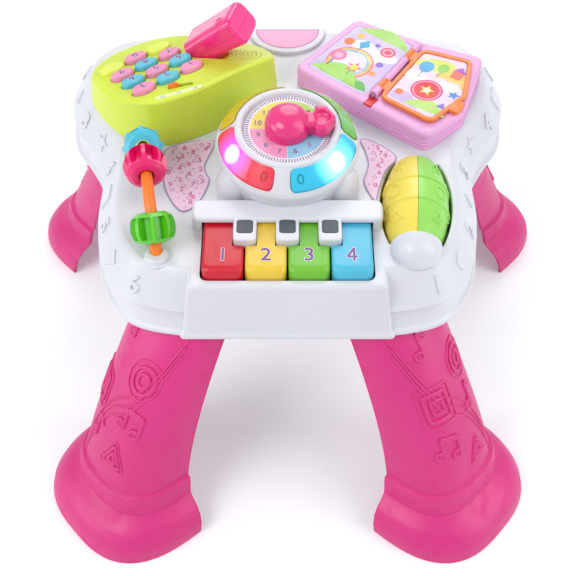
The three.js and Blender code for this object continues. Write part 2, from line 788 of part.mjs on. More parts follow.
function bottomShell() {
  const outline = tableOutline();
  const top = lipHeight + closeThickness;
  const plate = join(
    solidOf(loft([ringAt(outline, lipHeight, closeInset), ringAt(outline, top, closeInset)])),
    solidOf(loft([blockRing(lipHeight, -shellWall - seatGap), blockRing(top, -shellWall - seatGap)])),
  );
  const socketTop = lipHeight + tenonHeight + seatGap;
  const sleeves = legPlaces.map((place) => socketSolid(place, runningGap + socketWall, lipHeight,
    socketTop + socketWall));
  const sockets = legPlaces.map((place) => socketSolid(place, runningGap, lipHeight - overrun, socketTop));
  const box = boxOf(-boxHalfWidth - boxWall, boxHalfWidth + boxWall, batteryY - boxHalfDepth - boxWall,
    batteryY + boxHalfDepth + boxWall, lipHeight, lipHeight + boxHeight + boxWall);
  const boxHollow = boxOf(-boxHalfWidth, boxHalfWidth, batteryY - boxHalfDepth, batteryY + boxHalfDepth,
    lipHeight - overrun, lipHeight + boxHeight);
  const doorSeat = boxOf(-boxHalfWidth - doorMargin, boxHalfWidth + doorMargin,
    batteryY - boxHalfDepth - doorMargin,
    batteryY + boxHalfDepth + doorMargin, lipHeight - overrun, lipHeight + doorThickness);
  const doorStep = boxOf(-boxHalfWidth - doorMargin - boxWall, boxHalfWidth + doorMargin + boxWall,
    batteryY - boxHalfDepth - doorMargin - boxWall, batteryY + boxHalfDepth + doorMargin + boxWall,
    lipHeight, lipHeight + doorThickness + boxWall);
  const bosses = [-1, 1].flatMap((sideX) => [-1, 1].map((sideY) => discOf(boardBossRadius,
    sideX * (boardLength / 2 - boardBossRadius), dialY + sideY * (boardWidth / 2 - boardBossRadius),
    lipHeight, boardHeight - seatGap, sectionCount)));
  const body = cut(
    join(plate, ...sleeves, ...[box, doorStep, ...bosses].map(solidOf)),
    ...sockets, solidOf(boxHollow), solidOf(doorSeat),
  );
  return piece('bottom_shell', body, whitePlastic);
}

function batteryDoor() {
  const grow = doorMargin - runningGap;
  const plate = boxOf(-boxHalfWidth - grow, boxHalfWidth + grow, batteryY - boxHalfDepth - grow,
    batteryY + boxHalfDepth + grow, lipHeight, lipHeight + doorThickness - seatGap);
  return piece('battery_door', solidOf(plate), whitePlastic);
}

function batteries() {
  return batteryPlaces.map((offset, i) => {
    const cell = new THREE.CylinderGeometry(batteryRadius, batteryRadius, batteryLength, sectionCount)
      .rotateZ(Math.PI / 2).translate(0, batteryY + offset, lipHeight + doorThickness + batteryRadius);
    return piece(`battery_${i + 1}`, solidOf(cell), darkPlastic);
  });
}

function circuitBoard() {
  const board = boxOf(-boardLength / 2, boardLength / 2, dialY - boardWidth / 2, dialY + boardWidth / 2,
    boardHeight, boardHeight + boardThickness);
  return piece('circuit_board', solidOf(board), plastic(0x2e7d46, 0.5));
}

// Legs

const hipHeight = lipHeight - seatGap;
const bandTop = footHeight + bandHeight;

// Section sizes of a leg's foot, which spreads toward the floor
function footSection(rise, spread) {
  return {
    lean: -ankleLean * rise,
    squareness: 1,
    halfWidth: THREE.MathUtils.lerp(ankleHalfWidth, footHalfWidth, spread),
    depth: THREE.MathUtils.lerp(ankleDepth, footDepth, spread),
  };
}

// Section sizes of a leg above its foot
function shankSection(z, hipLean) {
  const rise = (Math.min(z, hipHeight) - footHeight) / (hipHeight - footHeight);
  return {
    lean: -THREE.MathUtils.lerp(ankleLean, hipLean, rise ** leanEase),
    squareness: 1 - rise,
    halfWidth: THREE.MathUtils.lerp(ankleHalfWidth, hipHalfWidth, Math.sqrt(rise)),
    depth: THREE.MathUtils.lerp(ankleDepth, hipDepth, rise),
  };
}

// Leg as a thin shell that is open toward the table's middle, with a tenon for its socket
function leg(place) {
  const ring = (z, outerCut, innerCut, section = shankSection(z, place.lean)) => {
    const rise = (Math.min(z, hipHeight) - footHeight) / (hipHeight - footHeight);
    const shift = -hipShift * place.side * Math.max(0, rise);
    const arc = (trim) => ringAt(legArc(
      section.lean, shift, section.halfWidth - trim, section.depth - trim, section.squareness), z);
    return { outer: arc(outerCut), inner: arc(innerCut) };
  };
  const foot = footRiseShares.map((share, i) => ring(
    share * footHeight, 0, legWall, footSection(share, footSpreadShares[i])));
  const shank = shankRiseShares.map((share) => ring(
    THREE.MathUtils.lerp(bandTop, hipHeight, share), bandProud, bandProud + legWall));
  const levels = [
    ...foot,
    ring(footHeight + bandProud / 2, -bandProud / 2, legWall),
    ring(bandTop - bandProud / 2, -bandProud / 2, legWall),
    ring(bandTop, 0, bandProud + legWall),
    ring(bandTop, bandProud, bandProud + legWall),
    ...shank,
    ring(hipHeight - shoulderThickness * 2, bandProud, bandProud + legWall),
    ring(hipHeight - shoulderThickness, bandProud, tenonInset + legWall),
    ring(hipHeight, bandProud, tenonInset + legWall),
    ring(hipHeight, tenonInset, tenonInset + legWall),
    ring(hipHeight + tenonHeight, tenonInset, tenonInset + legWall),
  ];
  const mesh = piece(place.name, solidOf(channelLoft(levels)), pinkPlastic);
  const group = frameAt(place.x, place.y, 0, place.turn);
  group.add(mesh);
  return group;
}

// Thin open channel through pairs of arcs, an outer and an inner one at each level
function channelLoft(levels) {
  const arcCount = levels[0].outer.length;
  const count = arcCount * 2;
  const points = levels.flatMap(({ outer, inner }) => [...outer, ...[...inner].reverse()]);
  const last = (levels.length - 1) * count;
  const indices = [];
  for (let base = 0; base < last; base += count) {
    for (let i = 0; i < count; i += 1) {
      const next = (i + 1) % count;
      indices.push(base + i, base + next, base + count + next);
      indices.push(base + i, base + count + next, base + count + i);
    }
  }
  for (let i = 0; i < arcCount - 1; i += 1) {
    const [a, b, c, d] = [i, i + 1, count - 2 - i, count - 1 - i];
    indices.push(a, c, b, a, d, c);
    indices.push(last + a, last + b, last + c, last + a, last + c, last + d);
  }
  const geometry = new THREE.BufferGeometry();
  geometry.setFromPoints(points);
  geometry.setIndex(indices);
  return geometry;
}

// Piano

function pianoKey(index) {
  const x0 = index * keyPitch - keysHalfWidth + keyGap / 2;
  const x1 = x0 + keyPitch - keyGap;
  const low = keyTop - keyFrontDrop;
  const ring = (z, inset, leanShare) => ringAt(roundedOutline(
    rectangle(x0, x1, keyFrontY - keyFrontLean * leanShare, keyRearY), keyRound), z, inset);
  const block = solidOf(loft([
    ring(low, 0, 1),
    ring(keyTop - keyFrontDrop * keyBendShare, 0, 1),
    ring(keyTop - keyRound / 2, 0, keyBendShare),
    ring(keyTop - keyRound / 6, keyRound / 8, keyBendShare / 2),
    ring(keyTop, keyRound / 2, 0),
  ]));
  const notchReach = bridgeWidth / 2 + runningGap;
  const notches = bridgePlaces.map((x) => solidOf(boxOf(x - notchReach, x + notchReach,
    bridgeFrontY - runningGap * 2, shelfFrontY + runningGap * 2, keyTop - bridgeDrop - runningGap * 2,
      keyTop + overrun)));
  return piece(`piano_key_${index + 1}`, cut(block, ...notches, solidOf(keyRodBore())), keyPaints[index]);
}

function keyRod() {
  const rod = new THREE.CylinderGeometry(keyRodRadius, keyRodRadius, (keysHalfWidth + keyRodOverhang) * 2,
    sectionCount)
    .rotateZ(Math.PI / 2).translate(0, hingeY, hingeZ);
  return piece('piano_hinge_rod', solidOf(rod), steel);
}

function keyStrip(x, index) {
  const outline = roundedOutline(rectangle(x - stripWidth / 2, x + stripWidth / 2,
    shelfFrontY - stripLength,
    shelfFrontY - seatGap), bridgeRound / 3);
  const floor = shelfTop - stripProud - stripDepth + seatGap;
  const strip = loft([ringAt(outline, floor), ringAt(outline, shelfTop - seatGap),
    ringAt(outline, shelfTop, seatGap)]);
  return piece(`key_strip_${index + 1}`, solidOf(strip), darkPlastic);
}

// Bead track

function beadRod() {
  const group = frameAt(trackX, trackY, playHeight, trackTurn);
  group.add(piece('bead_rod', solidOf(rodArch(rodRadius)), orangePlastic));
  return group;
}

// Bead with a core tube, two end rings and ribs between open pockets
function beadSolid() {
  const half = beadLength / 2;
  const [wide, along] = beadShoulderShares;
  const shoulder = beadRadius * wide;
  const barrel = new THREE.LatheGeometry([
    vector(beadBore, -half), vector(beadEndRadius, -half), vector(shoulder, -half * along),
    vector(beadRadius, -half * beadCrownShare), vector(beadRadius, half * beadCrownShare),
    vector(shoulder, half * along), vector(beadEndRadius, half), vector(beadBore, half),
    vector(beadBore, -half),
  ], wheelCount);
  const pockets = Array.from({ length: beadRibCount }, (_, i) => {
    const middle = (Math.PI * 2 * (i + 0.5)) / beadRibCount;
    const reach = (radius) => Math.PI / beadRibCount - beadRibWidth / 2 / radius;
    const corner = (radius, side) => vector(
      radius * Math.cos(middle + side * reach(radius)), radius * Math.sin(middle + side * reach(radius)));
    const open = beadRadius + beadRingWidth;
    const shape = new THREE.Shape([corner(beadCoreRadius, -1), corner(open, -1), corner(open, 1),
      corner(beadCoreRadius, 1)]);
    const depth = beadLength - beadRingWidth * 2;
    return solidOf(new THREE.ExtrudeGeometry(shape, { depth, bevelEnabled: false }).translate(0, 0,
      -depth / 2)
      .rotateX(Math.PI / 2));
  });
  return cut(solidOf(barrel), ...pockets);
}

function bead(name, angle, material) {
  const group = frameAt(trackX, trackY, playHeight + trackCentre, trackTurn);
  const arm = new THREE.Group();
  arm.rotation.x = THREE.MathUtils.degToRad(angle);
  const mesh = piece(`bead_${name}`, beadSolid(), material);
  mesh.position.z = trackRadius;
  arm.add(mesh);
  group.add(arm);
  return group;
}

// Roller

function rollerHalf(name, side, material) {
  const half = rollerLength / 2;
  const outerPoint = (y, grow = 0) => vector(rollerSwell(y) + grow, y);
  const ridge = (y) => [outerPoint(y - ridgeWidth / 2), outerPoint(y - ridgeWidth / 4, ridgeHeight),
    outerPoint(y + ridgeWidth / 4, ridgeHeight), outerPoint(y + ridgeWidth / 2)];
  const bore = axleRadius + seatGap;
  const rear = [...rollerOuterShares].reverse().map((share) => outerPoint(half * share));
  const front = rollerOuterShares.map((share) => outerPoint(-half * share));
  const outer = [vector(bore, -half), ...front, ...ridge(-ridgeSpacing / 2), outerPoint(0),
    ...ridge(ridgeSpacing / 2),
    ...rear, vector(bore, half)];
  const [reach, middle] = rollerInnerShares;
  const inner = [half - rollerWall, half * reach, half * middle, -half * reach, -half + rollerWall]
    .map((y) => outerPoint(y, -rollerWall));
  const shell = solidOf(new THREE.LatheGeometry([...outer, vector(bore, half - rollerWall), ...inner,
    vector(bore, -half + rollerWall), outer[0]], wheelCount));
  const keep = boxOf(seatGap / 2, rollerRadius * 2, -rollerLength, rollerLength, -rollerRadius * 2,
    rollerRadius * 2);
  const solid = shell.intersect(solidOf(side > 0 ? keep : keep.rotateZ(Math.PI)));
  return piece(name, solid, material);
}

function roller() {
  const group = frameAt(rollerX, rollerY, rollerAxisHeight, rollerTurn);
  group.add(
    rollerHalf('roller_yellow_half', -1, plastic(0xf0dc5a)),
    rollerHalf('roller_green_half', 1, plastic(0x7dd246)),
    piece('roller_axle', solidOf(axleOf(axleRadius, wellHalfLength + axleSeat)), steel),
  );
  return group;
}

// Dial, in a frame tipped toward the front

const dialFrame = frameAt(0, dialY, dialHeight);
dialFrame.rotation.x = dialTilt;
const discFloor = -discDepth - discThickness;

function lightRing(grow, low) {
  const [inner, outer] = [lightInnerRadius - grow, lightOuterRadius + grow];
  return new THREE.LatheGeometry([
    vector(inner, -lightInnerDrop - lightDepth - low),
      vector(outer, -lightOuterDrop - lightDepth / 2 - low),
    vector(outer, -lightOuterDrop + lightProud + grow), vector(inner, -lightInnerDrop + lightProud + grow),
    vector(inner, -lightInnerDrop - lightDepth - low),
  ], dialCount).rotateX(Math.PI / 2);
}

// Light button or its pocket: one stretch of a conical ring
function lightSolid(index, grow, low) {
  const start = lightFirst + index * (Math.PI / 2) + (index % 2 === 0 ? 0 : lightFrontGap);
  const slack = grow / lightInnerRadius;
  const wedge = new THREE.Shape();
  const reach = podShoulderRadius * wedgeReachShare;
  wedge.moveTo(0, 0);
  wedge.lineTo(reach * Math.cos(start - slack), reach * Math.sin(start - slack));
  wedge.absarc(0, 0, reach, start - slack, start + lightSweep + slack, false);
  const depth = lightDepth * 6;
  const slice = new THREE.ExtrudeGeometry(wedge, { depth, bevelEnabled: false,
    curveSegments: cornerCount * 2 })
    .translate(0, 0, -depth / 2);
  return { ring: lightRing(grow, low), slice };
}

function lightButton(index, name, material) {
  const { ring, slice } = lightSolid(index, 0, 0);
  return piece(`light_button_${name}`, solidOf(ring).intersect(solidOf(slice)), material);
}

function lightPocket(index) {
  const { ring, slice } = lightSolid(index, runningGap, lightTravel + runningGap);
  return solidOf(inFrame(ring, dialFrame)).intersect(solidOf(inFrame(slice, dialFrame)));
}

function dialPod() {
  const base = -dialHeight;
  const profile = [
    [0, base], [podBaseRadius, base], [podBaseRadius, -podBaseRise],
      [podShoulderRadius - podEdge, -podShoulderDepth * 1.5],
    [podShoulderRadius, -podShoulderDepth], [lightOuterRadius + runningGap * 2,
      -lightOuterDrop - podEdge / 2],
    [podRingRadius + podEdge / 2, -lightInnerDrop], [podRingRadius, -podEdge / 4],
      [podRingRadius - podEdge / 2, 0],
    [podRingInnerRadius + podEdge / 2, 0], [podRingInnerRadius, -podEdge / 4],
    [podRingInnerRadius - podEdge / 4, -discDepth], [podRingInnerRadius - podEdge / 4, discFloor],
      [0, discFloor],
  ];
  const body = inFrame(turned(profile, dialCount), dialFrame);
  const cheeks = [-1, 1].map((side) => inFrame(new THREE.SphereGeometry(podCheekRadius, wheelCount,
    sectionCount)
    .translate(side * podCheekX, podCheekY, -podCheekDepth), dialFrame));
  const shaftBore = inFrame(discOf(knobShaftRadius + runningGap, 0, 0, discFloor - knobShaftLength,
    overrun), dialFrame);
  const under = boxOf(-rearHalfWidth, rearHalfWidth, -rearDepth, rearDepth, -overrun, playHeight + seatGap);
  const shelfSpace = boxOf(-shelfHalfWidth, shelfHalfWidth, -rearDepth, shelfRearY + seatGap, 0,
    shelfTop + seatGap);
  const hollow = discOf(podBaseRadius - podWall, 0, dialY, 0, dialHeight - podHollowDepth, wheelCount);
  const pockets = [0, 1, 2, 3].map(lightPocket);
  const tools = [under, shelfSpace, hollow, shaftBore].map(solidOf);
  return piece('dial_pod', cut(join(...[body, ...cheeks].map(solidOf)), ...tools, ...pockets),
    whitePlastic);
}

function dialDisc() {
  const rim = podRingInnerRadius - podEdge / 4 - runningGap;
  const low = discFloor + seatGap;
  const plate = discOf(rim, 0, 0, low, low + discThickness, dialCount);
  const hole = discOf(knobShaftRadius + runningGap, 0, 0, low - overrun, overrun);
  return piece('dial_disc', cut(solidOf(plate), solidOf(hole)), print);
}

// Pointer knob: a dome, a neck and an arrow head with a finger dimple
function dialKnob() {
  const low = discFloor + discThickness + seatGap * 2;
  const crown = knobDomeShares.map(([across, up]) => [knobRadius * across, knobHeight * up]);
  const dome = turned([[0, low], [knobRadius, low], ...crown]);
  const neck = roundedOutline(rectangle(0, knobHeadX, -knobNeckWidth / 2, knobNeckWidth / 2), knobEase);
  const back = knobHeadX - knobHeadRadius / 2;
  const brow = knobHeadX + knobEase;
  const head = roundedOutline([vector(back, -knobHeadRadius), vector(brow, -knobHeadRadius),
    vector(knobTipX, 0),
    vector(brow, knobHeadRadius), vector(back, knobHeadRadius)], knobEase);
  const neckBar = loft([ringAt(neck, low), ringAt(neck, knobNeckHeight - knobEase / 2),
    ringAt(neck, knobNeckHeight, knobEase / 2)]);
  const headBar = loft([ringAt(head, runningGap), ringAt(head, knobHeadHeight - knobEase),
    ringAt(head, knobHeadHeight, knobEase)]);
  const dimple = turned([[0, knobHeadHeight - knobDimpleDepth],
    [knobDimpleRadius * 0.8, knobHeadHeight - knobDimpleDepth],
    [knobDimpleRadius, knobHeadHeight + knobEase], [0, knobHeadHeight + knobEase]], sectionCount)
    .translate(knobHeadX, 0, 0);
  const shaft = discOf(knobShaftRadius, 0, 0, discFloor - knobShaftLength + runningGap, low + knobEase,
    sectionCount);
  const body = cut(join(...[dome, neckBar, headBar, shaft].map(solidOf)), solidOf(dimple));
  return piece('dial_knob', body, magentaPlastic);
}

function dial() {
  const group = frameAt(0, dialY, dialHeight);
  group.rotation.x = dialTilt;
  const lights = [['red', 0xff2846], ['cyan', 0x1ec8eb], ['green', 0x6ecd3c], ['yellow', 0xf5d23c]];
  group.add(dialDisc(), dialKnob(), ...lights.map(([name, color], i) => lightButton(i, name,
    clearPlastic(color))));
  return group;
}

// Phone console, in its own turned frame with its floor at z = 0

const keypadTilt = -Math.atan(consoleSlope);
const keypadHeight = consoleHeight - consoleSlope * consoleFrontReach;
const keypadFrame = new THREE.Group();
keypadFrame.position.z = keypadHeight;
keypadFrame.rotation.x = keypadTilt;

function consoleOutline() {
  return smoothOutline(consoleOutlineShares.map(([x, y]) => vector(
    x * (x < 0 ? consoleLeftReach : consoleRightReach),
      y * (y < 0 ? consoleFrontReach : consoleRearReach))), outlineCount / 2);
}

// Ring that follows the sloping top, lower toward the handset end
function consoleRing(outline, inset, drop, scale = 1) {
  return ringAt(outline, 0, inset).map((q) => {
    const p = q.multiplyScalar(scale);
    const past = Math.max(0, (p.x - consoleEndStart) / (consoleRightReach - consoleEndStart));
    const top = consoleHeight - consoleSlope * (p.y + consoleFrontReach) - consoleEndDrop * past ** 2;
    return new THREE.Vector3(p.x, p.y, top - drop);
  });
}

function consoleSkin(outline, shrink, round, low) {
  return solidOf(loft([
    ringAt(outline, low, shrink),
    consoleRing(outline, consoleDraft + shrink, round + shrink),
    consoleRing(outline, consoleDraft + round / 3 + shrink, round / 3 + shrink),
    ...consoleCapShares.map((scale) => consoleRing(outline, consoleDraft + round + shrink, shrink, scale)),
  ]));
}

function keypadPlace(column, row) {
  return vector(buttonFirstX - column * buttonPitchX, buttonFirstY + row * buttonPitchY);
}

// Numbers 1 to 9 in three rows of three, and 0 alone behind them
const buttonPlaces = [
  { digit: 0, place: keypadPlace(1, 3) },
  ...Array.from({ length: 9 }, (_, i) => ({ digit: i + 1, place: keypadPlace(i % 3, Math.floor(i / 3)) })),
];
const dummyPlaces = [keypadPlace(0, 3), keypadPlace(2, 3)];

function buttonLoft(levels) {
  return loft(levels.map(([z, grow]) => ringAt(oval(buttonLength + grow * 2, buttonWidth + grow * 2), z)));
}

function numberButton({ digit, place }) {
  const ledge = -consoleWall - seatGap;
  const button = solidOf(buttonLoft([
    [ledge - buttonFlangeThickness, buttonFlange], [ledge, buttonFlange], [ledge, 0],
    ...buttonCrownShares.map(([up, inward]) => [buttonProud * up, -buttonEase * inward]),
  ]));
  const mesh = piece(`number_button_${digit}`, button,
    digit % 2 === 1 || digit === 0 ? buttonPink : buttonCyan);
  mesh.position.set(place.x, place.y, 0);
  return mesh;
}

function buttonHole({ place }) {
  const through = buttonLoft([[-consoleWall - overrun, runningGap], [overrun, runningGap]]);
  return solidOf(inFrame(through.translate(place.x, place.y, 0), keypadFrame));
}

function dummyButton(place) {
  const crown = dummyCrownShares.map(([up, inward]) => [buttonProud * up, -buttonEase * inward]);
  const dome = buttonLoft([[-consoleWall / 2, 0], ...crown]);
  return solidOf(inFrame(dome.translate(place.x, place.y, 0), keypadFrame));
}

function slotHole() {
  const halfLength = (sliderLength + sliderTravel) / 2 + runningGap;
  const outline = roundedOutline(rectangle(-halfLength, halfLength, -slotWidth / 2, slotWidth / 2),
    slotWidth / 4);
  const hole = loft([ringAt(outline, -consoleWall - overrun), ringAt(outline, overrun)]);
  return solidOf(inFrame(hole.rotateZ(slotTurn).translate(slotX, slotY, 0), keypadFrame));
}

function volumeSlider() {
  const ledge = -consoleWall - seatGap;
  const foot = roundedOutline(rectangle(-sliderLength / 2 - sliderFootReach,
    sliderLength / 2 + sliderFootReach,
    -sliderFootWidth / 2, sliderFootWidth / 2), sliderFootReach);
  const stem = oval(sliderLength, slotWidth - runningGap * 2, sectionCount);
  const slider = join(
    solidOf(loft([ringAt(foot, ledge - sliderFootThickness), ringAt(foot, ledge)])),
    solidOf(loft([ringAt(stem, ledge - sliderFootThickness / 2), ringAt(stem, sliderProud - buttonEase),
      ringAt(stem, sliderProud, buttonEase / 2)])),
  );
  const holder = frameAt(slotX, slotY, 0, slotTurn);
  const mesh = piece('volume_slider', slider, orangePlastic);
  mesh.position.x = -sliderTravel / 2;
  holder.add(mesh);
  return holder;
}

// Sound holes in rings about the middle of the loudspeaker
function grilleHoles() {
  return grilleRings.flatMap(({ count, reachShare }) => Array.from({ length: count }, (_, i) => {
    const angle = (Math.PI * 2 * i) / count;
    const reach = speakerRadius * reachShare;
    const hole = discOf(grilleHoleRadius, grilleX + reach * Math.cos(angle),
      grilleY + reach * Math.sin(angle),
      seatGap - speakerDrop, consoleHeight, ovalCount / 2);
    return solidOf(inFrame(hole, keypadFrame));
  }));
}

const matLow = -consoleWall - seatGap * 2 - buttonFlangeThickness - buttonTravel - matThickness;
const matHalfWidth = buttonPitchX + buttonLength / 2 - matTrim;

function matOutline() {
  const middle = keypadPlace(1, 1);
  const reach = buttonWidth / 2 - matTrim;
  return roundedOutline(rectangle(middle.x - matHalfWidth, middle.x + matHalfWidth,
    middle.y - buttonPitchY - reach,
    middle.y + buttonPitchY * 2 + reach), buttonEase * 2);
}

function keypadMat() {
  return piece('keypad_mat', solidOf(loft([ringAt(matOutline(), matLow),
    ringAt(matOutline(), matLow + matThickness)])),
    rubber);
}

// Posts under the console's top that carry the mat between the buttons
function matPosts() {
  const rows = [0.5, 1.5];
  return rows.flatMap((row) => rows.map((column) => {
    const place = keypadPlace(column, row);
    const post = discOf(matPostRadius, place.x, place.y, matLow + matThickness + seatGap, -consoleWall / 2,
      sectionCount / 2);
    return solidOf(inFrame(post, keypadFrame));
  }));
}

// Posts under the console's top that the loudspeaker hangs from
function speakerPosts() {
  return [0, 1, 2].map((i) => {
    const angle = (Math.PI * 2 * (i + 0.5)) / 3;
    const post = discOf(matPostRadius, grilleX + speakerRadius * Math.cos(angle),
      grilleY + speakerRadius * Math.sin(angle),
      seatGap - speakerDrop, consoleHeight, ovalCount / 2);
    return solidOf(inFrame(post, keypadFrame));
  });
}

// Frame of the handset in the console's frame, leaning toward the table's right side
function handsetFrame() {
  const group = new THREE.Group();
  group.position.set(handsetX, handsetY, handsetRise);
  group.rotation.set(0, handsetLean, -consoleTurn, 'ZYX');
  return group;
}

// Section of the handset at a distance along it, growing toward both ends
function handsetRing(along, grow) {
  const middle = (handsetReach - handsetSunk) / 2;
  const away = Math.min(1, Math.abs(along - middle) / (handsetReach - middle));
  const waist = handsetWaist * (1 - away ** 2);
  const x0 = -handsetThickness / 2 - grow;
  const x1 = handsetThickness / 2 - waist + grow;
  const halfWidth = handsetWidth / 2 - waist * handsetSideShare + grow;
  return ringAt(roundedOutline(rectangle(x0, x1, -halfWidth, halfWidth), handsetEase), along);
}

function handsetSkin(grow) {
  const ends = handsetEase * handsetEndShare;
  const stations = handsetStationShares.map((share) => THREE.MathUtils.lerp(
    ends - handsetSunk, handsetReach - ends, share));
  return solidOf(loft([
    handsetRing(-handsetSunk - grow, grow - ends / 2),
    ...stations.map((along) => handsetRing(along, grow)),
    handsetRing(handsetReach + grow, grow - ends / 2),
  ]));
}

// Half of the handset, split along its middle plane
function handsetHalf(name, side) {
  const reach = handsetReach * 2;
  const keep = side > 0 ? boxOf(seatGap / 2, reach, -reach, reach, -reach, reach)
    : boxOf(-reach, -seatGap / 2, -reach, reach, -reach, reach);
  const shell = cut(handsetSkin(0), handsetSkin(-handsetWall));
  return piece(name, shell.intersect(solidOf(keep)), clearPlastic(0xeb1e82));
}

function handset() {
  const group = handsetFrame();
  group.add(handsetHalf('handset_front', -1), handsetHalf('handset_back', 1));
  return group;
}

// Box round the sunk end of the handset, in the handset's frame
function handsetSleeve(grow) {
  const halfWidth = handsetWidth / 2 + grow;
  const halfThickness = handsetThickness / 2 + grow;
  return boxOf(-halfThickness, halfThickness, -halfWidth, halfWidth, -handsetSunk - grow, handsetSunk * 2);
}

function phoneConsole() {
  const outline = consoleOutline();
  const sleeve = (grow) => solidOf(inFrame(handsetSleeve(grow), handsetFrame()));
  const skin = consoleSkin(outline, 0, consoleRound, 0);
  const hollow = consoleSkin(outline, consoleWall, 0, -overrun);
  const clearance = -buttonFlange - matTrim - runningGap * 3;
  const keypadSpace = loft([ringAt(matOutline(), matLow * 3, clearance),
    ringAt(matOutline(), -consoleWall, clearance)]);
  const walls = cut(join(sleeve(pocketGap + pocketWall), ...speakerPosts()).intersect(skin),
    solidOf(inFrame(keypadSpace, keypadFrame)));
  const shell = join(cut(skin, hollow), walls, ...dummyPlaces.map(dummyButton));
  const body = cut(join(shell, ...matPosts()), ...buttonPlaces.map(buttonHole), slotHole(),
    sleeve(pocketGap),
    ...grilleHoles());
  return piece('phone_console', body, limePlastic);
}

function speaker() {
  const top = -speakerDrop;
  const cone = discOf(speakerRadius, grilleX, grilleY, top - speakerThickness, top, sectionCount);
  return piece('loudspeaker', solidOf(cone), darkPlastic);
}

function phone() {
  const group = frameAt(consoleX, consoleY, playHeight + seatGap, consoleTurn);
  const keypad = new THREE.Group();
  keypad.position.copy(keypadFrame.position);
  keypad.rotation.x = keypadTilt;
  keypad.add(...buttonPlaces.map(numberButton), volumeSlider(), keypadMat(), speaker());
  group.add(phoneConsole(), keypad, handset());
  return group;
}

// Book, in its own turned frame with its floor at z = 0

const spineFrame = frameAt(spineX, spineY, bookHeight, spineTurn);
const lugPlaces = [-spineLength / 2 + knuckleLength / 2, spineLength / 2 - knuckleLength / 2];
const knucklePlaces = lugPlaces.map((y) => y - Math.sign(y) * (knuckleLength + runningGap));

const bookPoints = (shares) => shares.map(([x, y]) => vector(x * bookHalfLength, y * bookHalfDepth));
const alongSpine = (radius, y, length) => new THREE.CylinderGeometry(radius, radius, length, sectionCount)
  .translate(0, y, pinRise);

function bookHousing() {
  const outline = roundedOutline(bookPoints(bookOutlineShares), bookRound);
  const pitch = (bookHeight * grooveSpanShare) / grooveCount;
  const grooves = Array.from({ length: grooveCount }, (_, i) => (i + grooveFirstShare) * pitch);
  const block = solidOf(loft([
    ringAt(outline, 0),
    ...grooves.flatMap((z) => [ringAt(outline, z - grooveDepth), ringAt(outline, z, grooveDepth),
      ringAt(outline, z + grooveDepth)]),
    ringAt(outline, bookHeight - bookDraft),
    ringAt(outline, bookHeight - bookDraft / 3, bookDraft / 3),
    ringAt(outline, bookHeight, bookDraft),
  ]));
  const hollow = loft([ringAt(outline, -overrun, bookWall),
    ringAt(outline, bookHeight - bookWall, bookWall)]);
  const groove = alongSpine(knuckleRadius + runningGap, 0, spineLength + runningGap * 2);
  const lugs = lugPlaces.map((y) => solidOf(inFrame(alongSpine(knuckleRadius, y, knuckleLength),
    spineFrame)));
  const feet = lugPlaces.map((y) => solidOf(inFrame(boxOf(-knuckleRadius, knuckleRadius,
    y - knuckleLength / 2,
    y + knuckleLength / 2, -knuckleRadius * 2, pinRise), spineFrame)));
  const sheet = roundedOutline(bookPoints(leftSheetShares), sheetInset);
  const sheetSeat = loft([ringAt(sheet, bookHeight - sheetThickness, -seatGap),
    ringAt(sheet, bookHeight + overrun, -seatGap)]);
  const markerSeat = boxOf(markerX - markerWidth / 2 - seatGap, markerX + markerWidth / 2 + seatGap,
    markerY - seatGap, markerY + markerLength, bookHeight - markerThickness, bookHeight + overrun);
  const bore = inFrame(alongSpine(pinRadius + seatGap, 0, spineLength + overrun), spineFrame);
  const body = cut(join(cut(block, solidOf(inFrame(groove, spineFrame))), ...lugs, ...feet),
    solidOf(hollow),
    solidOf(sheetSeat), solidOf(markerSeat), solidOf(bore));
  return piece('book_housing', body, bookPlastic);
}

function leftPage() {
  const sheet = roundedOutline(bookPoints(leftSheetShares), sheetInset);
  const low = bookHeight - sheetThickness + seatGap;
  return piece('left_page_sheet', solidOf(loft([ringAt(sheet, low), ringAt(sheet, low + sheetThickness)])),
    print);
}

function pagePoints(shrink) {
  const corners = pageOutlineShares.map(([x, y]) => vector(x * pageWidth, y * pageHalfDepth));
  const outline = roundedOutline(corners, pageRound);
  return ringAt(outline, 0, shrink).map((p) => vector(p.x + pageStart * (1 - p.x / pageWidth), p.y));
}

// Orange frame of the turning page, with its knuckles and finger tab
function pageFrame() {
  const low = pinRise - frameThickness / 2;
  const high = pinRise + frameThickness / 2;
  const plate = loft([ringAt(pagePoints(0), low), ringAt(pagePoints(0), high)]);
  const opening = loft([ringAt(pagePoints(frameBorder), low - overrun),
    ringAt(pagePoints(frameBorder), high + overrun)]);
  const tab = roundedOutline(rectangle(pageWidth - frameBorder, pageWidth + pageTabReach,
    -pageTabY - pageTabWidth / 2,
    -pageTabY + pageTabWidth / 2), frameBorder / 2);
  const tabPlate = loft([ringAt(tab, low), ringAt(tab, high)]);
  const barrels = knucklePlaces.map((y) => solidOf(alongSpine(knuckleRadius - seatGap, y, knuckleLength)));
  const arms = knucklePlaces.map((y) => solidOf(boxOf(0, pageStart + frameBorder / 2, y - knuckleLength / 2,
    y + knuckleLength / 2, low, high)));
  const clearings = lugPlaces.map((y) => solidOf(alongSpine(knuckleRadius + runningGap * 2, y,
    knuckleLength + runningGap * 2)));
  const ring = cut(join(solidOf(plate), solidOf(tabPlate)), solidOf(opening), ...clearings);
  const bore = alongSpine(pinRadius + seatGap, 0, spineLength + overrun);
  return piece('page_frame', cut(join(ring, ...barrels, ...arms), solidOf(bore)), orangePlastic);
}

function pageCard() {
  const outline = pagePoints(frameBorder + seatGap);
  const card = loft([ringAt(outline, pinRise - cardThickness / 2),
    ringAt(outline, pinRise + cardThickness / 2)]);
  return piece('page_card', solidOf(card), print);
}

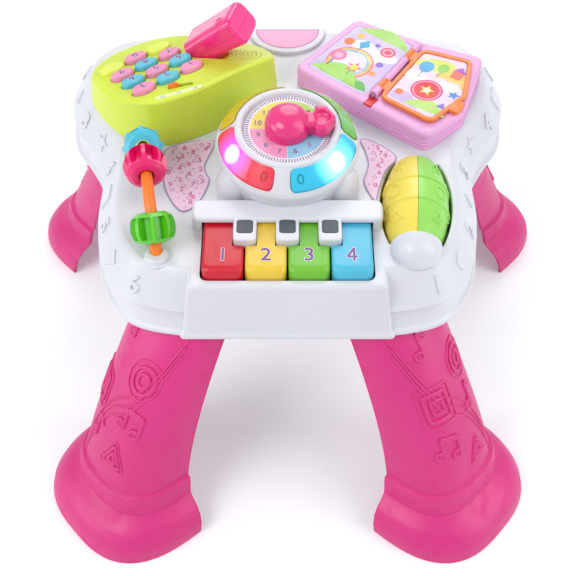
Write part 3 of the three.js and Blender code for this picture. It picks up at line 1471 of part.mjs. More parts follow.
function pagePin() {
  return piece('page_pin', solidOf(alongSpine(pinRadius, 0, spineLength - runningGap)), steel);
}

function bookmark() {
  const outline = roundedOutline(rectangle(markerX - markerWidth / 2, markerX + markerWidth / 2, markerY,
    markerY + markerLength - seatGap), markerWidth / 4);
  const low = bookHeight - markerThickness + seatGap;
  return piece('bookmark', solidOf(loft([ringAt(outline, low), ringAt(outline, low + markerThickness)])),
    plastic(0xd71e32));
}

function book() {
  const group = frameAt(bookX, bookY, playHeight + seatGap, bookTurn);
  const spine = frameAt(spineX, spineY, bookHeight, spineTurn);
  spine.add(pageFrame(), pageCard(), pagePin());
  group.add(bookHousing(), leftPage(), bookmark(), spine);
  return group;
}

// Nameplate and printed panels on the play surface

function nameplate() {
  const low = playHeight + platePadRaise - plateThickness + seatGap;
  const plate = loft([ringAt(plateOutline(0), low), ringAt(plateOutline(0), low + plateThickness)]);
  return piece('nameplate', solidOf(plate), plastic(0xe68cbe));
}

function panel(name, shares) {
  const outline = smoothOutline(shares.map(([x, y]) => vector(x * frontHalfWidth, y * frontDepth)),
    outlineCount / 2);
  const low = playHeight + seatGap;
  return piece(name, solidOf(loft([ringAt(outline, low), ringAt(outline, low + panelThickness)])), print);
}

// Whole table, moved so that the middle of its footprint is the origin

const keyPaints = [0xd71932, 0xf0d75a, 0x82c83c, 0x6ecde1].map((color) => plastic(color, 0.2));
const beadPaints = { cyan: 0x46bed7, magenta: 0xe6146e, green: 0x5ac81e };
const table = new THREE.Group();
table.add(
  topShell(), bottomShell(), batteryDoor(), ...batteries(), circuitBoard(),
  ...legPlaces.map(leg),
  dialPod(), dial(), phone(), book(),
  ...keyPaints.map((_, i) => pianoKey(i)), keyRod(), ...bridgePlaces.map(keyStrip),
  beadRod(), ...Object.entries(beadAngles).map(([name, angle]) => bead(name, angle,
    plastic(beadPaints[name]))),
  roller(), nameplate(), panel('left_panel', leftPanelShares), panel('right_panel', rightPanelShares),
);
const footprint = new THREE.Box3().setFromObject(table, true);
table.position.set(0, -(footprint.min.y + footprint.max.y) / 2, -footprint.min.z);

export default table;
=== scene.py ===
"""Musical activity table: the finished surface of every part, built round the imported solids."""
import math

import bmesh
import bpy
from mathutils import Matrix, Vector


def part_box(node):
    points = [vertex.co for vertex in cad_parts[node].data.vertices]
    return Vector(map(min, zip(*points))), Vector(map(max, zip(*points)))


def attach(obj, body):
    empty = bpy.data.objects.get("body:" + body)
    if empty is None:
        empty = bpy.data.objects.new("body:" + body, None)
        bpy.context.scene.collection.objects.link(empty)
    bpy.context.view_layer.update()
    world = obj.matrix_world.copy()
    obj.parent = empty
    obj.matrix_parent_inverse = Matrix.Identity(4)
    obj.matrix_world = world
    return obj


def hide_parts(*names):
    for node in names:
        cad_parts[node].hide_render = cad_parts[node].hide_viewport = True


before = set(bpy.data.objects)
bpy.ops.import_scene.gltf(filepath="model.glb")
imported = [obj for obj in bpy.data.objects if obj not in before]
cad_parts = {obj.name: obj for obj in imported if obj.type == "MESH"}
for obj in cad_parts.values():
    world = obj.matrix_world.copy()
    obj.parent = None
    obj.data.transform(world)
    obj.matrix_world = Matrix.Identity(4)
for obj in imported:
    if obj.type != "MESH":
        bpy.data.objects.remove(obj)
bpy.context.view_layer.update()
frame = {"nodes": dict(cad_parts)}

bl_info = {
    "name": "Musical activity table",
    "version": (1, 0, 0),
    "blender": (4, 5, 0),
    "location": "3D View > Sidebar > Activity table",
    "description": "Builds the finished parts of a musical activity table round its packed solids",
    "category": "Object",
}

UNIT = 0.001

# Heights of the table. Sizes are in millimetres and angles in degrees, where a heading says nothing else
PLAY_HEIGHT = 236.0
LIP_HEIGHT = 181.0
RUNNING_GAP = 0.4
SEAT_GAP = 0.3
OVERRUN = 6.0

# Table outline and rim
REAR_HALF_WIDTH, FRONT_HALF_WIDTH = 184.0, 150.0
REAR_DEPTH, FRONT_DEPTH = 164.0, 149.0
SHELL_WALL = 2.6
RIM_PROFILE = [(181, 1.5), (182.5, 0), (185.5, 0), (188.5, 3), (206, 4), (208, 2), (210, 3), (231, 16),
               (234.3, 19), (236, 22)]
CAVITY_PROFILE = [(175, 5.6), (206, 6.6), (228.4, 18.6), (233.4, 24.6)]
RIM_SLOPE_FOOT, RIM_SLOPE_TOP = (210.0, 3.0), (231.0, 16.0)
RIM_FIGURE_STEP, RIM_FIGURE_RISE = 31.0, 2.3
RIM_FIGURES = ["1", "circle", "2", "triangle", "3", "star", "4", "square", "5", "diamond", "6", "circle", "7",
               "star", "8", "triangle", "9", "square"]
FRONT_SHARES = [(0, -1), (0.5, -0.995), (0.78, -0.915), (0.93, -0.7), (0.99, -0.38), (1, -0.02)]
REAR_SHARES = [(0.885, 0.155), (0.965, 0.3), (1, 0.52), (0.96, 0.73), (0.84, 0.88), (0.62, 0.955),
               (0.3, 0.995), (0, 1)]

# Piano block, keys and the shelf over them
BLOCK_TOP, BLOCK_FOOT, BLOCK_REAR, BLOCK_ROUND = (70.995, 146.0), (78.0, 149.5), 100.0, 3.0
BLOCK_LIP = [(181, 0), (182, 1.2), (183.5, 1.7), (185.5, 1.5), (187, 0.7), (188.5, 0)]
KEY_COUNT, KEY_PITCH, KEY_GAP, KEY_TOP = 4, 30.795, 1.0, 244.0
KEY_DROP, KEY_FRONT_Y, KEY_REAR_Y, KEY_ROUND, KEY_LEAN = 12.0, -134.1, -78.97, 4.0, 5.0
KEY_CORNER, SHELF_CORNER, STRIP_CORNER = 6.5, 7.0, 2.8
KEY_EYE, KEY_ROD, KEY_ROD_DEPTH, KEY_ROD_OVERHANG = 4.0, 2.2, 4.6, 4.0
SHELF_FRONT, SHELF_REAR, SHELF_TOP, SHELF_THICK, SHELF_HALF = -92.97, -71.97, 249.5, 3.5, 70.005
BRIDGE_WIDTH, BRIDGE_REACH, BRIDGE_ROUND, BRIDGE_DROP = 17.0, 20.0, 2.5, 4.0
STRIP_WIDTH, STRIP_LENGTH, STRIP_DEPTH, STRIP_PROUD = 11.5, 13.0, 1.2, 0.4
KEYS_HALF = KEY_COUNT * KEY_PITCH / 2
HINGE_Y, HINGE_Z = KEY_REAR_Y - KEY_EYE, KEY_TOP - KEY_ROD_DEPTH
BRIDGES = [(i + 1) * KEY_PITCH - KEYS_HALF for i in range(KEY_COUNT - 1)]
BRIDGE_FRONT = SHELF_FRONT - BRIDGE_REACH

# Dial pod, light buttons and pointer knob
DIAL_Y, DIAL_Z, DIAL_TILT = -32.035, 285.0, 6.5
POD_BASE, POD_FOOT, POD_SHOULDER, POD_SHOULDER_DEPTH, POD_RISE, POD_EDGE = 46.0, 51.0, 55.0, 19.0, 40.0, 3.0
POD_RING, POD_RING_INNER, RING_DROP, POD_WALL, POD_HOLLOW_DEPTH = 39.0, 33.5, 1.8, 8.0, 27.0
CHEEK_RADIUS, CHEEK_HEIGHT, CHEEK_PLACE = 15.5, 22.0, (38.5, -25.5, -38.0)
DISC_DEPTH, DISC_THICK = 3.5, 1.6
DISC_FLOOR = -DISC_DEPTH - DISC_THICK
LIGHT_INNER, LIGHT_OUTER, LIGHT_SWEEP, LIGHT_FIRST, LIGHT_FRONT_GAP = 40.0, 51.5, 80.0, 177.0, 6.0
LIGHT_INNER_DROP, LIGHT_OUTER_DROP, LIGHT_DEPTH, LIGHT_TRAVEL, LIGHT_PROUD = 2.5, 14.0, 10.0, 2.5, 1.4
LIGHT_ROUND, LIGHT_MARK = 3.6, (2.6, 3.7)
LIGHT_MIDDLE = (LIGHT_INNER + LIGHT_OUTER) / 2
LIGHT_FALL = (LIGHT_OUTER_DROP - LIGHT_INNER_DROP) / (LIGHT_OUTER - LIGHT_INNER)
QUARTER_SPAN, QUARTER_GAP, NUMERAL_RING, TICK_RING, TICK_COUNT = (8, 28.0), 0.6, 22.5, 30.4, 90
TICK_SHAPE = [(-1.3, -0.3), (1.3, -0.42), (1.3, 0.42), (-1.3, 0.3)]
KNOB_RADIUS, KNOB_HEIGHT, NECK_WIDTH, NECK_HEIGHT = 17.0, 15.0, 13.5, 9.0
HEAD_X, HEAD_RADIUS, TIP_X, HEAD_HEIGHT, DIMPLE_RADIUS, DIMPLE_DEPTH = 25.5, 11.5, 36.0, 11.0, 6.0, 4.0
KNOB_EASE, SHAFT_RADIUS, SHAFT_LENGTH = 3.0, 5.0, 14.0
NECK_ROUND, HEAD_ROUND, KNOB_CURVE, KNOB_SOFTENING = 2.4, 2.6, 0.75, 0.55

# Phone console
CONSOLE_PLACE, CONSOLE_TURN = (-85.0, 55.0, PLAY_HEIGHT + SEAT_GAP), 37.0
CONSOLE_HEIGHT, CONSOLE_FRONT, CONSOLE_REAR, CONSOLE_LEFT, CONSOLE_RIGHT = 46.0, 46.0, 66.0, 65.0, 78.0
CONSOLE_SLOPE, CONSOLE_END_START, CONSOLE_END_DROP = 0.25, 14.0, 16.0
CONSOLE_DRAFT, CONSOLE_ROUND, CONSOLE_WALL = 2.2, 3.5, 2.6
CONSOLE_CROWN = (0.92, 0.84, 0.76, 0.68, 0.6, 0.5, 0.4, 0.3, 0.2, 0.1)
CONSOLE_SHARES = [(-0.35, -0.96), (0.05, -1), (0.82, -0.8), (0.97, -0.56), (1, -0.1), (0.83, 0.3),
                  (0.41, 0.77), (-0.01, 0.99), (-0.54, 0.98), (-0.89, 0.75), (-1, 0.29), (-0.96, -0.21),
                  (-0.7, -0.78)]
BUTTON_PITCH, BUTTON_FIRST, BUTTON_SIZE = (22.0, 17.0), (2.5, -13.0), (19.5, 12.5)
BUTTON_PROUD, BUTTON_FLANGE, BUTTON_FLANGE_THICK = 5.0, 1.2, 1.5
CROWN_START, CROWN_RISE, CROWN_ROUND = BUTTON_PROUD * 0.6, 2.0, 1.7
SLOT_PLACE, SLOT_TURN, SLOT_WIDTH = (-18.0, -29.5), -29.0, 5.0
GRIP_HALF, GRIP_PITCH = 0.3, 1.6
SLIDER_TRAVEL, SLIDER_LENGTH, SLIDER_PROUD, SLIDER_FOOT_WIDTH, SLIDER_FOOT_REACH = 11.0, 8.0, 4.0, 7.0, 2.0
LABEL_OVALS = [((3.6, 2.2), 20, 1.6, "8C93A6"), ((1.8, 1.0), 16, 2.2, "FFFFFF")]
SURROUND_WIDTH, SURROUND_RISE, SURROUND_ROUND = 1.5, 0.7, 0.5
DOME_PROFILE = [(-0.6, 1.2), (1.8, 1.2), (2.7, 0.95), (3.5, 0.4), (4.0, -0.4), (4.3, -1.4)]
GRILLE_PLACE, GRILLE_PITCH, SPEAKER_DROP = (47.0, -14.0), 2.9, 18.0
GRILLE_ARCS = [(3.4, 0, 360), (6.8, 0, 360), (10.2, 195, 180), (13.6, 200, 170), (17.0, 205, 150)]
FIELD_SPAN, FIELD_ROUND, FIELD_RISE = (-53.5, 14.5, -21.5, 48.5), 9.0, 0.8
LABEL_SIZE, LABEL_PLACE, LABEL_TURN, LABEL_MARKS = (38.0, 4.8), (-2.0, -9.2), 10.0, (-13.0, 0.0, 13.0)

# Handset
HANDSET_PLACE, HANDSET_TURN, HANDSET_LEAN = (36.2, 2.5, 43.0), -52.9, 48.3
HANDSET_REACH, HANDSET_SUNK, HANDSET_CLEAR = 32.0, 19.0, 80
HANDSET_WIDTH, HANDSET_THICK, HANDSET_WAIST, HANDSET_WALL, HANDSET_EASE = 33.4, 27.2, 2.5, 2.2, 7.5
POCKET_GAP, POCKET_WALL = 1.0, 2.2
BOSS_PROFILE, BOSS_HEIGHTS = [(1.6, -7.5), (3.2, -7.5), (3.2, 7.0), (1.6, 7.0), (1.6, -7.5)], (-6, 21)
RING_PROFILE = [(2.6, -0.5), (4.2, -0.5), (4.2, 0.3), (3.9, 0.7), (2.9, 0.7), (2.6, 0.3), (2.6, -0.5)]
RING_PLACE = (-7, 20)

# Book
BOOK_PLACE, BOOK_TURN = (85.0, 73.5, PLAY_HEIGHT + SEAT_GAP), -40.0
BOOK_HALF, BOOK_HEIGHT = (70.0, 50.0), 17.0
BOOK_DRAFT, BOOK_ROUND, BOOK_WALL, GROOVE_COUNT, GROOVE_DEPTH = 3.0, 9.0, 4.0, 3, 1.3
SPINE_PLACE, SPINE_TURN, SPINE_LENGTH, PIN_RISE, PIN_RADIUS = (6.0, -2.0), 7.0, 78.0, 2.4, 1.5
PAGE_SIZE, PAGE_ROUND, PAGE_START = (62.0, 41.0), 9.0, 5.0
FRAME_THICK, FRAME_BORDER, CARD_THICK, SHEET_THICK, SHEET_INSET = 3.0, 4.0, 1.2, 0.8, 6.0
KNUCKLE_RADIUS, KNUCKLE_LENGTH, TAB_WIDTH, TAB_REACH, TAB_Y = 3.2, 11.0, 14.0, 5.0, 14.0
MARKER_PLACE, MARKER_SIZE, MARKER_THICK = (12.0, -49.0), (7.0, 11.0), 1.6
BOOK_SHARES = [(-0.89, -1), (1, -0.97), (1.08, -0.1), (0.72, 1.22), (0, 0.9), (-0.9, 0.7)]
LEFT_SHEET_SHARES = [(-0.79, -0.84), (0.06, -0.84), (-0.04, 0.72), (-0.8, 0.56)]
PAGE_SHARES = [(0, -0.9), (0.87, -1.02), (1.03, 0.02), (0.74, 1.07), (0, 0.86)]

# Bead track
TRACK_PLACE, TRACK_TURN, TRACK_REACH, TRACK_RISE = (-103.05, -64.07, PLAY_HEIGHT), 9.5, 55.0, 37.0
TRACK_RADIUS = (TRACK_REACH ** 2 + TRACK_RISE ** 2) / (TRACK_RISE * 2)
TRACK_CENTRE = TRACK_RISE - TRACK_RADIUS
ROD_RADIUS, POST_RADIUS, POST_HEIGHT, POST_ROUND, ROD_SOCKET = 4.3, 8.5, 5.0, 2.2, 8.0
BEAD_RADIUS, BEAD_LENGTH, BEAD_END, BEAD_CORE, BEAD_BORE, BEAD_RING = 16.0, 22.0, 11.0, 9.0, 5.8, 3.0
BEAD_SHOULDER, BEAD_RIBS, BEAD_RIB_WIDTH = 14.4, 8, 2.8
BEAD_ANGLES = {"cyan": -38.0, "magenta": -2.0, "green": 46.0}

# Roller
ROLLER_PLACE, ROLLER_TURN = (96.45, -64.964, 231.0), -4.0
ROLLER_RADIUS, ROLLER_END, ROLLER_LENGTH, ROLLER_CLEAR = 25.0, 16.0, 84.0, 60
ROLLER_WALL, ROLLER_GAP, RIDGE_HEIGHT, RIDGE_WIDTH, RIDGE_SPACING = 3.0, 2.0, 1.2, 2.4, 22.0
ROLLER_FIGURES = [("star", 17, 26, 5.5), ("circle", 19, 0, 5.5), ("triangle", 18, -25, 5.5),
                  ("square", 33, 14, 4.5), ("diamond", 33, -14, 5.0)]
ROLLER_FIGURE_LIFT, ROLLER_FIGURE_WIDTH = 0.2, 0.75
ROLLER_LIP = [(3.6, 0.0), (4.4, -0.3), (5.01, -0.9), (12, -0.9)]
AXLE_RADIUS, AXLE_SEAT, HOOD, HOOD_SEAT = 3.0, 2.0, (19.0, 20.0, 18.0), 5

# Legs
LEG_PLACES = {"leg_front_left": (-117.0, -160.026, 221.0, 1, 71.0),
              "leg_front_right": (117.0, -160.026, -41.0, -1, 71.0),
              "leg_rear_left": (-162.472, 119.556, 135.5, 1, 64.0),
              "leg_rear_right": (162.472, 119.556, 44.5, -1, 64.0)}
LEG_WALL, FOOT_HALF, FOOT_DEPTH, FOOT_HEIGHT, BAND_HEIGHT, BAND_PROUD = 3.0, 69.0, 79.0, 33.0, 17.0, 2.0
ANKLE_HALF, ANKLE_DEPTH, ANKLE_LEAN, HIP_HALF, HIP_DEPTH, HIP_SHIFT = 50.0, 59.0, 7.0, 44.0, 41.0, 11.0
LEG_ROUNDNESS, LEAN_EASE, TENON_HEIGHT, TENON_INSET, LEG_SHOULDER = 0.72, 1.4, 16.0, 9.0, 4.0
HIP_HEIGHT, BAND_TOP = LIP_HEIGHT - SEAT_GAP, FOOT_HEIGHT + BAND_HEIGHT
BAND_EDGE = [(0.5, -0.7), (1.2, -1.0)]
WAVE_REACH, WAVE_HEIGHTS, WAVE_SPACING, WAVE_SWING = (-30, 34), (58, 172), 7, 12
FOOT_LEVELS = (0, 0.06, 0.12, 0.2, 0.28, 0.35, 0.42, 0.5, 0.58, 0.65, 0.71, 0.77, 0.84, 0.9, 0.95, 1)
FOOT_RISE = [0, 0.12, 0.35, 0.58, 0.77, 0.9, 1]
FOOT_SPREAD = [1, 1, 0.97, 0.82, 0.55, 0.22, 0.02]

# Screws in the bottom shell
SCREW_RADIUS, SCREW_SLOT = 3.6, 0.9
SCREW_PROFILE = [(0, 1.2), (0.6, 1.2), (1, 0.3), (0.96, 0.0), (0.7, -0.35), (0, -0.5)]
SCREW_PLACES = [(-62, -60), (62, -60), (-75, 75), (75, 75), (0, 120), (-30, -118), (30, -118)]

# Nameplate and printed panels
PLATE_Y, PLATE_HALF, PLATE_DEPTH, PAD_MARGIN, PAD_RAISE, PLATE_THICK = 143.0, 27.0, 25.0, 6.0, 3.0, 1.6
PRINT_SINK, KEY_NUMERAL_SINK, BUTTON_NUMERAL_SINK, HILL_FOOT = 0.3, 0.6, 0.5, 1.2
PANEL_THICK, SCATTER, SCATTER_STRAY, SCATTER_MARGIN = 0.8, 5.6, 0.9, 3.2
PRINT_ROOM = 0.32
LEFT_PANEL_SHARES = [(-0.387, 0.034), (-0.635, -0.036), (-0.637, -0.157), (-0.635, -0.26), (-0.607, -0.368),
                     (-0.525, -0.488), (-0.462, -0.453), (-0.395, -0.268), (-0.413, -0.216), (-0.425, -0.164)]
RIGHT_PANEL_SHARES = [(0.383, 0.04), (0.4, -0.04), (0.416, -0.141), (0.403, -0.208), (0.387, -0.275),
                      (0.411, -0.369), (0.44, -0.423), (0.467, -0.322), (0.507, -0.195), (0.567, -0.094),
                      (0.413, 0.047)]

# Where finishes change, in metres: heights of the painted show-through on the handset, distances from a lamp
HANDSET_SHOW_THROUGH_FADE, GLOW_FADE = (0.264, 0.29), (0.003, 0.021)

# Camera, lamps and floor, in metres
CAMERA_PLACE, CAMERA_TILT, CAMERA_LENS, CAMERA_SHIFT = (0.0, -0.63353, 0.840), 40.0, 70.06, 0.0009
LAMP_TARGET = (0, 0, 0.2)
LAMPS = {"key_lamp": ((-1.1, -0.9, 1.7), 1.2, 18.0), "fill_lamp": ((1.3, -0.5, 1.5), 1.3, 10.0),
         "back_lamp": ((0.2, 1.5, 1.6), 1.4, 15.0), "left_lamp": ((-1.5, -0.5, 0.6), 0.9, 5.0),
         "right_lamp": ((1.5, -0.5, 0.6), 0.9, 5.0)}
WORLD_STRENGTH, WORLD_SEEN = 0.42, 1.0
FLOOR_HALF, FLOOR_LIFT, FLOOR_FADE, FLOOR_GLOW = 6, 0.18, (0.8, 2.4), (0.72, 0.9, 1.0, 1.0)

low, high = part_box("piano_hinge_rod")
TABLE = Matrix.Translation((0, (low.y + high.y) / 2 - HINGE_Y * UNIT, 0)) @ Matrix.Scale(UNIT, 4)


def paint(text):
    """Scene-linear colour of a hex colour."""
    channels = [int(text[i:i + 2], 16) / 255 for i in (0, 2, 4)]
    return tuple(c / 12.92 if c < 0.04045 else ((c + 0.055) / 1.055) ** 2.4 for c in channels)


def shift(x, y, z=0.0):
    return Matrix.Translation((x, y, z))


def turn(axis, degrees):
    return Matrix.Rotation(math.radians(degrees), 4, axis)


DIAL = shift(0, DIAL_Y, DIAL_Z) @ turn("X", DIAL_TILT)
CONSOLE = shift(*CONSOLE_PLACE) @ turn("Z", CONSOLE_TURN)
KEYPAD = CONSOLE @ shift(0, 0, CONSOLE_HEIGHT - CONSOLE_SLOPE * CONSOLE_FRONT) @ \
    turn("X", -math.degrees(math.atan(CONSOLE_SLOPE)))
HANDSET = CONSOLE @ shift(*HANDSET_PLACE) @ turn("Z", HANDSET_TURN) @ turn("Y", HANDSET_LEAN)
BOOK = shift(*BOOK_PLACE) @ turn("Z", BOOK_TURN)
SPINE = BOOK @ shift(*SPINE_PLACE, BOOK_HEIGHT) @ turn("Z", SPINE_TURN)
TRACK = shift(*TRACK_PLACE) @ turn("Z", TRACK_TURN)
ROLLER = shift(*ROLLER_PLACE) @ turn("Z", ROLLER_TURN)
STILL = Matrix.Identity(4)


# Outlines

def lerp(a, b, share):
    return a + (b - a) * share


def spline(points, count, closed):
    """Points along a centripetal curve through the given points."""
    spans = len(points) if closed else len(points) - 1
    if not closed:
        first = [2 * a - b for a, b in zip(points[0], points[1])]
        last = [2 * a - b for a, b in zip(points[-1], points[-2])]
        points = [first, *points, last]
    made = []
    for i in range(count if closed else count + 1):
        place = spans * i / count
        k = min(int(place), spans - 1)
        w = place - k
        start = k - 1 if closed else k
        p = [points[(start + j) % len(points)] for j in range(4)]
        d = [math.dist(p[j], p[j + 1]) ** 0.5 or 1.0 for j in range(3)]
        point = []
        for c in range(len(p[0])):
            x0, x1, x2, x3 = (q[c] for q in p)
            t1 = ((x1 - x0) / d[0] - (x2 - x0) / (d[0] + d[1]) + (x2 - x1) / d[1]) * d[1]
            t2 = ((x2 - x1) / d[1] - (x3 - x1) / (d[1] + d[2]) + (x3 - x2) / d[2]) * d[1]
            second, third = 3 * (x2 - x1) - 2 * t1 - t2, 2 * (x1 - x2) + t1 + t2
            point.append(x1 + t1 * w + second * w * w + third * w ** 3)
        made.append(tuple(point))
    return made


def rounded(corners, radius, steps=7):
    """Polygon with its corners rounded."""
    made = []
    for i, corner in enumerate(corners):
        c = Vector(corner)
        before = (Vector(corners[i - 1]) - c).normalized()
        after = (Vector(corners[(i + 1) % len(corners)]) - c).normalized()
        reach = radius / math.tan(math.acos(max(-1, min(1, before.dot(after)))) / 2)
        start, end = c + before * reach, c + after * reach
        for k in range(steps + 1):
            t = k / steps
            made.append(tuple(start * (1 - t) ** 2 + c * 2 * t * (1 - t) + end * t * t))
    return made


def quarter(steps):
    """(away, fall) of a rounded edge of radius one: straight at first, flat at last."""
    angles = [math.pi / 2 * k / steps for k in range(steps + 1)]
    return [(1 - math.cos(a), 1 - math.sin(a)) for a in angles]


def rectangle(x0, x1, y0, y1):
    return [(x0, y0), (x1, y0), (x1, y1), (x0, y1)]


def oval(length, width, count=40):
    return [(length / 2 * math.cos(math.tau * i / count), width / 2 * math.sin(math.tau * i / count))
            for i in range(count)]


def ring_at(outline, z, inset=0.0):
    """Ring of points at one height, moved inward by an inset."""
    made = []
    for i, (x, y) in enumerate(outline):
        dx = outline[(i + 1) % len(outline)][0] - outline[i - 1][0]
        dy = outline[(i + 1) % len(outline)][1] - outline[i - 1][1]
        size = math.hypot(dx, dy) or 1.0
        made.append((x - dy / size * inset, y + dx / size * inset, z))
    return made


def table_outline(count):
    front = [(x * FRONT_HALF_WIDTH, y * FRONT_DEPTH) for x, y in FRONT_SHARES]
    rear = [(x * REAR_HALF_WIDTH, y * REAR_DEPTH) for x, y in REAR_SHARES]
    right = front + rear
    left = [(-x, y) for x, y in reversed(right[1:-1])]
    return spline(right + left, count, True)


# Solids

def solid(verts, faces, where=STILL, name="form"):
    mesh = bpy.data.meshes.new(name)
    mesh.from_pydata([where @ Vector(v) for v in verts], [], faces)
    made = bpy.data.objects.new(name, mesh)
    bpy.context.scene.collection.objects.link(made)
    return made


def loft(rings, where=STILL):
    """Closed solid through rings, each counter-clockwise seen from its far end."""
    count = len(rings[0])
    last = (len(rings) - 1) * count
    faces = [(base + i, base + (i + 1) % count, base + count + (i + 1) % count, base + count + i)
             for base in range(0, last, count) for i in range(count)]
    faces += [tuple(reversed(range(count))), tuple(range(last, last + count))]
    return solid([p for ring in rings for p in ring], faces, where)


def prism(outline, z0, z1, where=STILL):
    return loft([ring_at(outline, z0), ring_at(outline, z1)], where)


def box(x0, x1, y0, y1, z0, z1, where=STILL):
    return prism(rectangle(x0, x1, y0, y1), z0, z1, where)


def disc(radius, x, y, z0, z1, where=STILL, count=64):
    return prism([(x + a, y + b) for a, b in oval(radius * 2, radius * 2, count)], z0, z1, where)


def soft_prism(outline, z0, z1, edge, where=STILL, steps=4):
    """Prism with a rounded upper edge."""
    rings = [ring_at(outline, z0)]
    rings += [ring_at(outline, z1 - edge * fall, edge * away) for away, fall in quarter(steps)]
    return loft(rings, where)


def lathe(profile, where=STILL, count=96):
    """Solid of revolution about +Z, from a profile that ends on the axis or closes on itself."""
    looped = profile[0] == profile[-1]
    points = profile[:-1] if looped else profile
    verts, starts = [], []
    for r, z in points:
        starts.append(len(verts))
        steps = count if r > 0 else 1
        verts += [(r * math.cos(math.tau * i / steps), r * math.sin(math.tau * i / steps), z)
                  for i in range(steps)]
    faces = []
    for a in range(len(points) if looped else len(points) - 1):
        b = (a + 1) % len(points)
        for i in range(count):
            j = (i + 1) % count
            low_pair = [starts[a]] if points[a][0] == 0 else [starts[a] + i, starts[a] + j]
            high_pair = [starts[b]] if points[b][0] == 0 else [starts[b] + j, starts[b] + i]
            if len(low_pair) + len(high_pair) > 2:
                faces.append(tuple(low_pair + high_pair))
    return solid(verts, faces, where)


def ball_profile(steps):
    """Half circle of radius one, for a lathe."""
    angles = [math.pi / 2 * k / steps for k in range(1 - steps, steps)]
    return [(0, -1)] + [(math.cos(a), math.sin(a)) for a in angles] + [(0, 1)]


def tube(path, radius, count=32, where=STILL):
    """Round bar along a path."""
    rings = []
    side = None
    for i, p in enumerate(path):
        ahead = Vector(path[min(i + 1, len(path) - 1)]) - Vector(path[max(i - 1, 0)])
        ahead.normalize()
        side = (side - ahead * side.dot(ahead)).normalized() if side else ahead.orthogonal().normalized()
        up = ahead.cross(side)
        around = [math.tau * k / count for k in range(count)]
        rings.append([tuple(Vector(p) + (side * math.cos(a) + up * math.sin(a)) * radius) for a in around])
    return loft(rings, where)


def bake(made, used=()):
    """Turns an object's modifiers into its mesh and removes the tools they used."""
    bpy.context.view_layer.update()
    graph = bpy.context.evaluated_depsgraph_get()
    mesh = bpy.data.meshes.new_from_object(made.evaluated_get(graph))
    made.modifiers.clear()
    made.data = mesh
    for tool in used:
        bpy.data.objects.remove(tool)
    if not mesh.polygons:
        raise RuntimeError(f"{made.name} came out empty")
    return made


def combine(body, operation, tools):
    for tool in tools:
        modifier = body.modifiers.new("fit", "BOOLEAN")
        modifier.operation = operation
        modifier.solver = "MANIFOLD"
        modifier.object = tool
    return bake(body, tools)


def join(body, *tools):
    return combine(body, "UNION", tools)


def cut(body, *tools):
    return combine(body, "DIFFERENCE", tools)


def meet(body, *tools):
    return combine(body, "INTERSECT", tools)


def softened(body, voxel, passes):
    """Melts the edges of a joined form into one another."""
    remesh = body.modifiers.new("skin", "REMESH")
    remesh.mode = "VOXEL"
    remesh.voxel_size = voxel
    melt = body.modifiers.new("melt", "SMOOTH")
    melt.iterations = passes
    melt.factor = 0.5
    return bake(body)


def bevelled(body, width, steps=3, angle=35.0):
    modifier = body.modifiers.new("edge", "BEVEL")
    modifier.width = width
    modifier.segments = steps
    modifier.limit_method = "ANGLE"
    modifier.angle_limit = math.radians(angle)
    return bake(body)


def figure_four(size, depth, grow, where):
    """Solid numeral four from three crossing bars."""
    wide = size * 0.045 + grow
    foot, tip = Vector((-size * 0.2, -size * 0.13)), Vector((size * 0.08, size * 0.33))
    aside = Vector((foot.y - tip.y, tip.x - foot.x)).normalized() * wide
    slope = [tuple(p) for p in (foot - aside, tip - aside, tip + aside, foot + aside)]
    stem, bar = size * 0.08, -size * 0.13
    return join(box(stem - wide, stem + wide, -size * 0.36 - grow, size * 0.36 + grow, 0, depth, where),
                box(-size * 0.23 - grow, size * 0.22 + grow, bar - wide, bar + wide, 0, depth, where),
                prism(slope, 0, depth, where))


def glyph(text, size, depth, grow=0.0, where=STILL):
    """Solid letters, centred on the origin and standing on z = 0."""
    if text == "4":
        return figure_four(size, depth, grow, where)
    curve = bpy.data.curves.new("glyph", "FONT")
    curve.body = text
    curve.size = size
    curve.extrude = depth / 2
    curve.offset = grow
    curve.resolution_u = 4
    curve.align_x, curve.align_y = "CENTER", "CENTER"
    holder = bpy.data.objects.new("glyph", curve)
    bpy.context.scene.collection.objects.link(holder)
    bpy.context.view_layer.update()
    mesh = bpy.data.meshes.new_from_object(holder.evaluated_get(bpy.context.evaluated_depsgraph_get()))
    bpy.data.objects.remove(holder)
    xs = [v.co.x for v in mesh.vertices]
    ys = [v.co.y for v in mesh.vertices]
    mesh.transform(where @ shift(-(min(xs) + max(xs)) / 2, -(min(ys) + max(ys)) / 2, depth / 2))
    made = bpy.data.objects.new("glyph", mesh)
    bpy.context.scene.collection.objects.link(made)
    return made


def inked(made, colour):
    """Gives every corner of a form one ink colour."""
    ink = made.data.color_attributes.new("ink", "FLOAT_COLOR", "CORNER")
    ink.data.foreach_set("color", [*colour, 1.0] * len(made.data.loops))
    return made


def outlined_numeral(text, height, sunk, rises, grows, where):
    """Printed numeral in purple over its white outline."""
    inks = (tuple(colours().halo), tuple(colours().purple))
    return [inked(glyph(text, height, sunk + rise, grow, where), ink)
            for rise, grow, ink in zip(rises, grows, inks)]


def gather(parts):
    """One object from several, each kept as its own closed form."""
    forms = bmesh.new()
    for part in parts:
        forms.from_mesh(part.data)
    mesh = bpy.data.meshes.new("gathered")
    forms.to_mesh(mesh)
    forms.free()
    for part in parts:
        bpy.data.objects.remove(part)
    made = bpy.data.objects.new("gathered", mesh)
    bpy.context.scene.collection.objects.link(made)
    return made


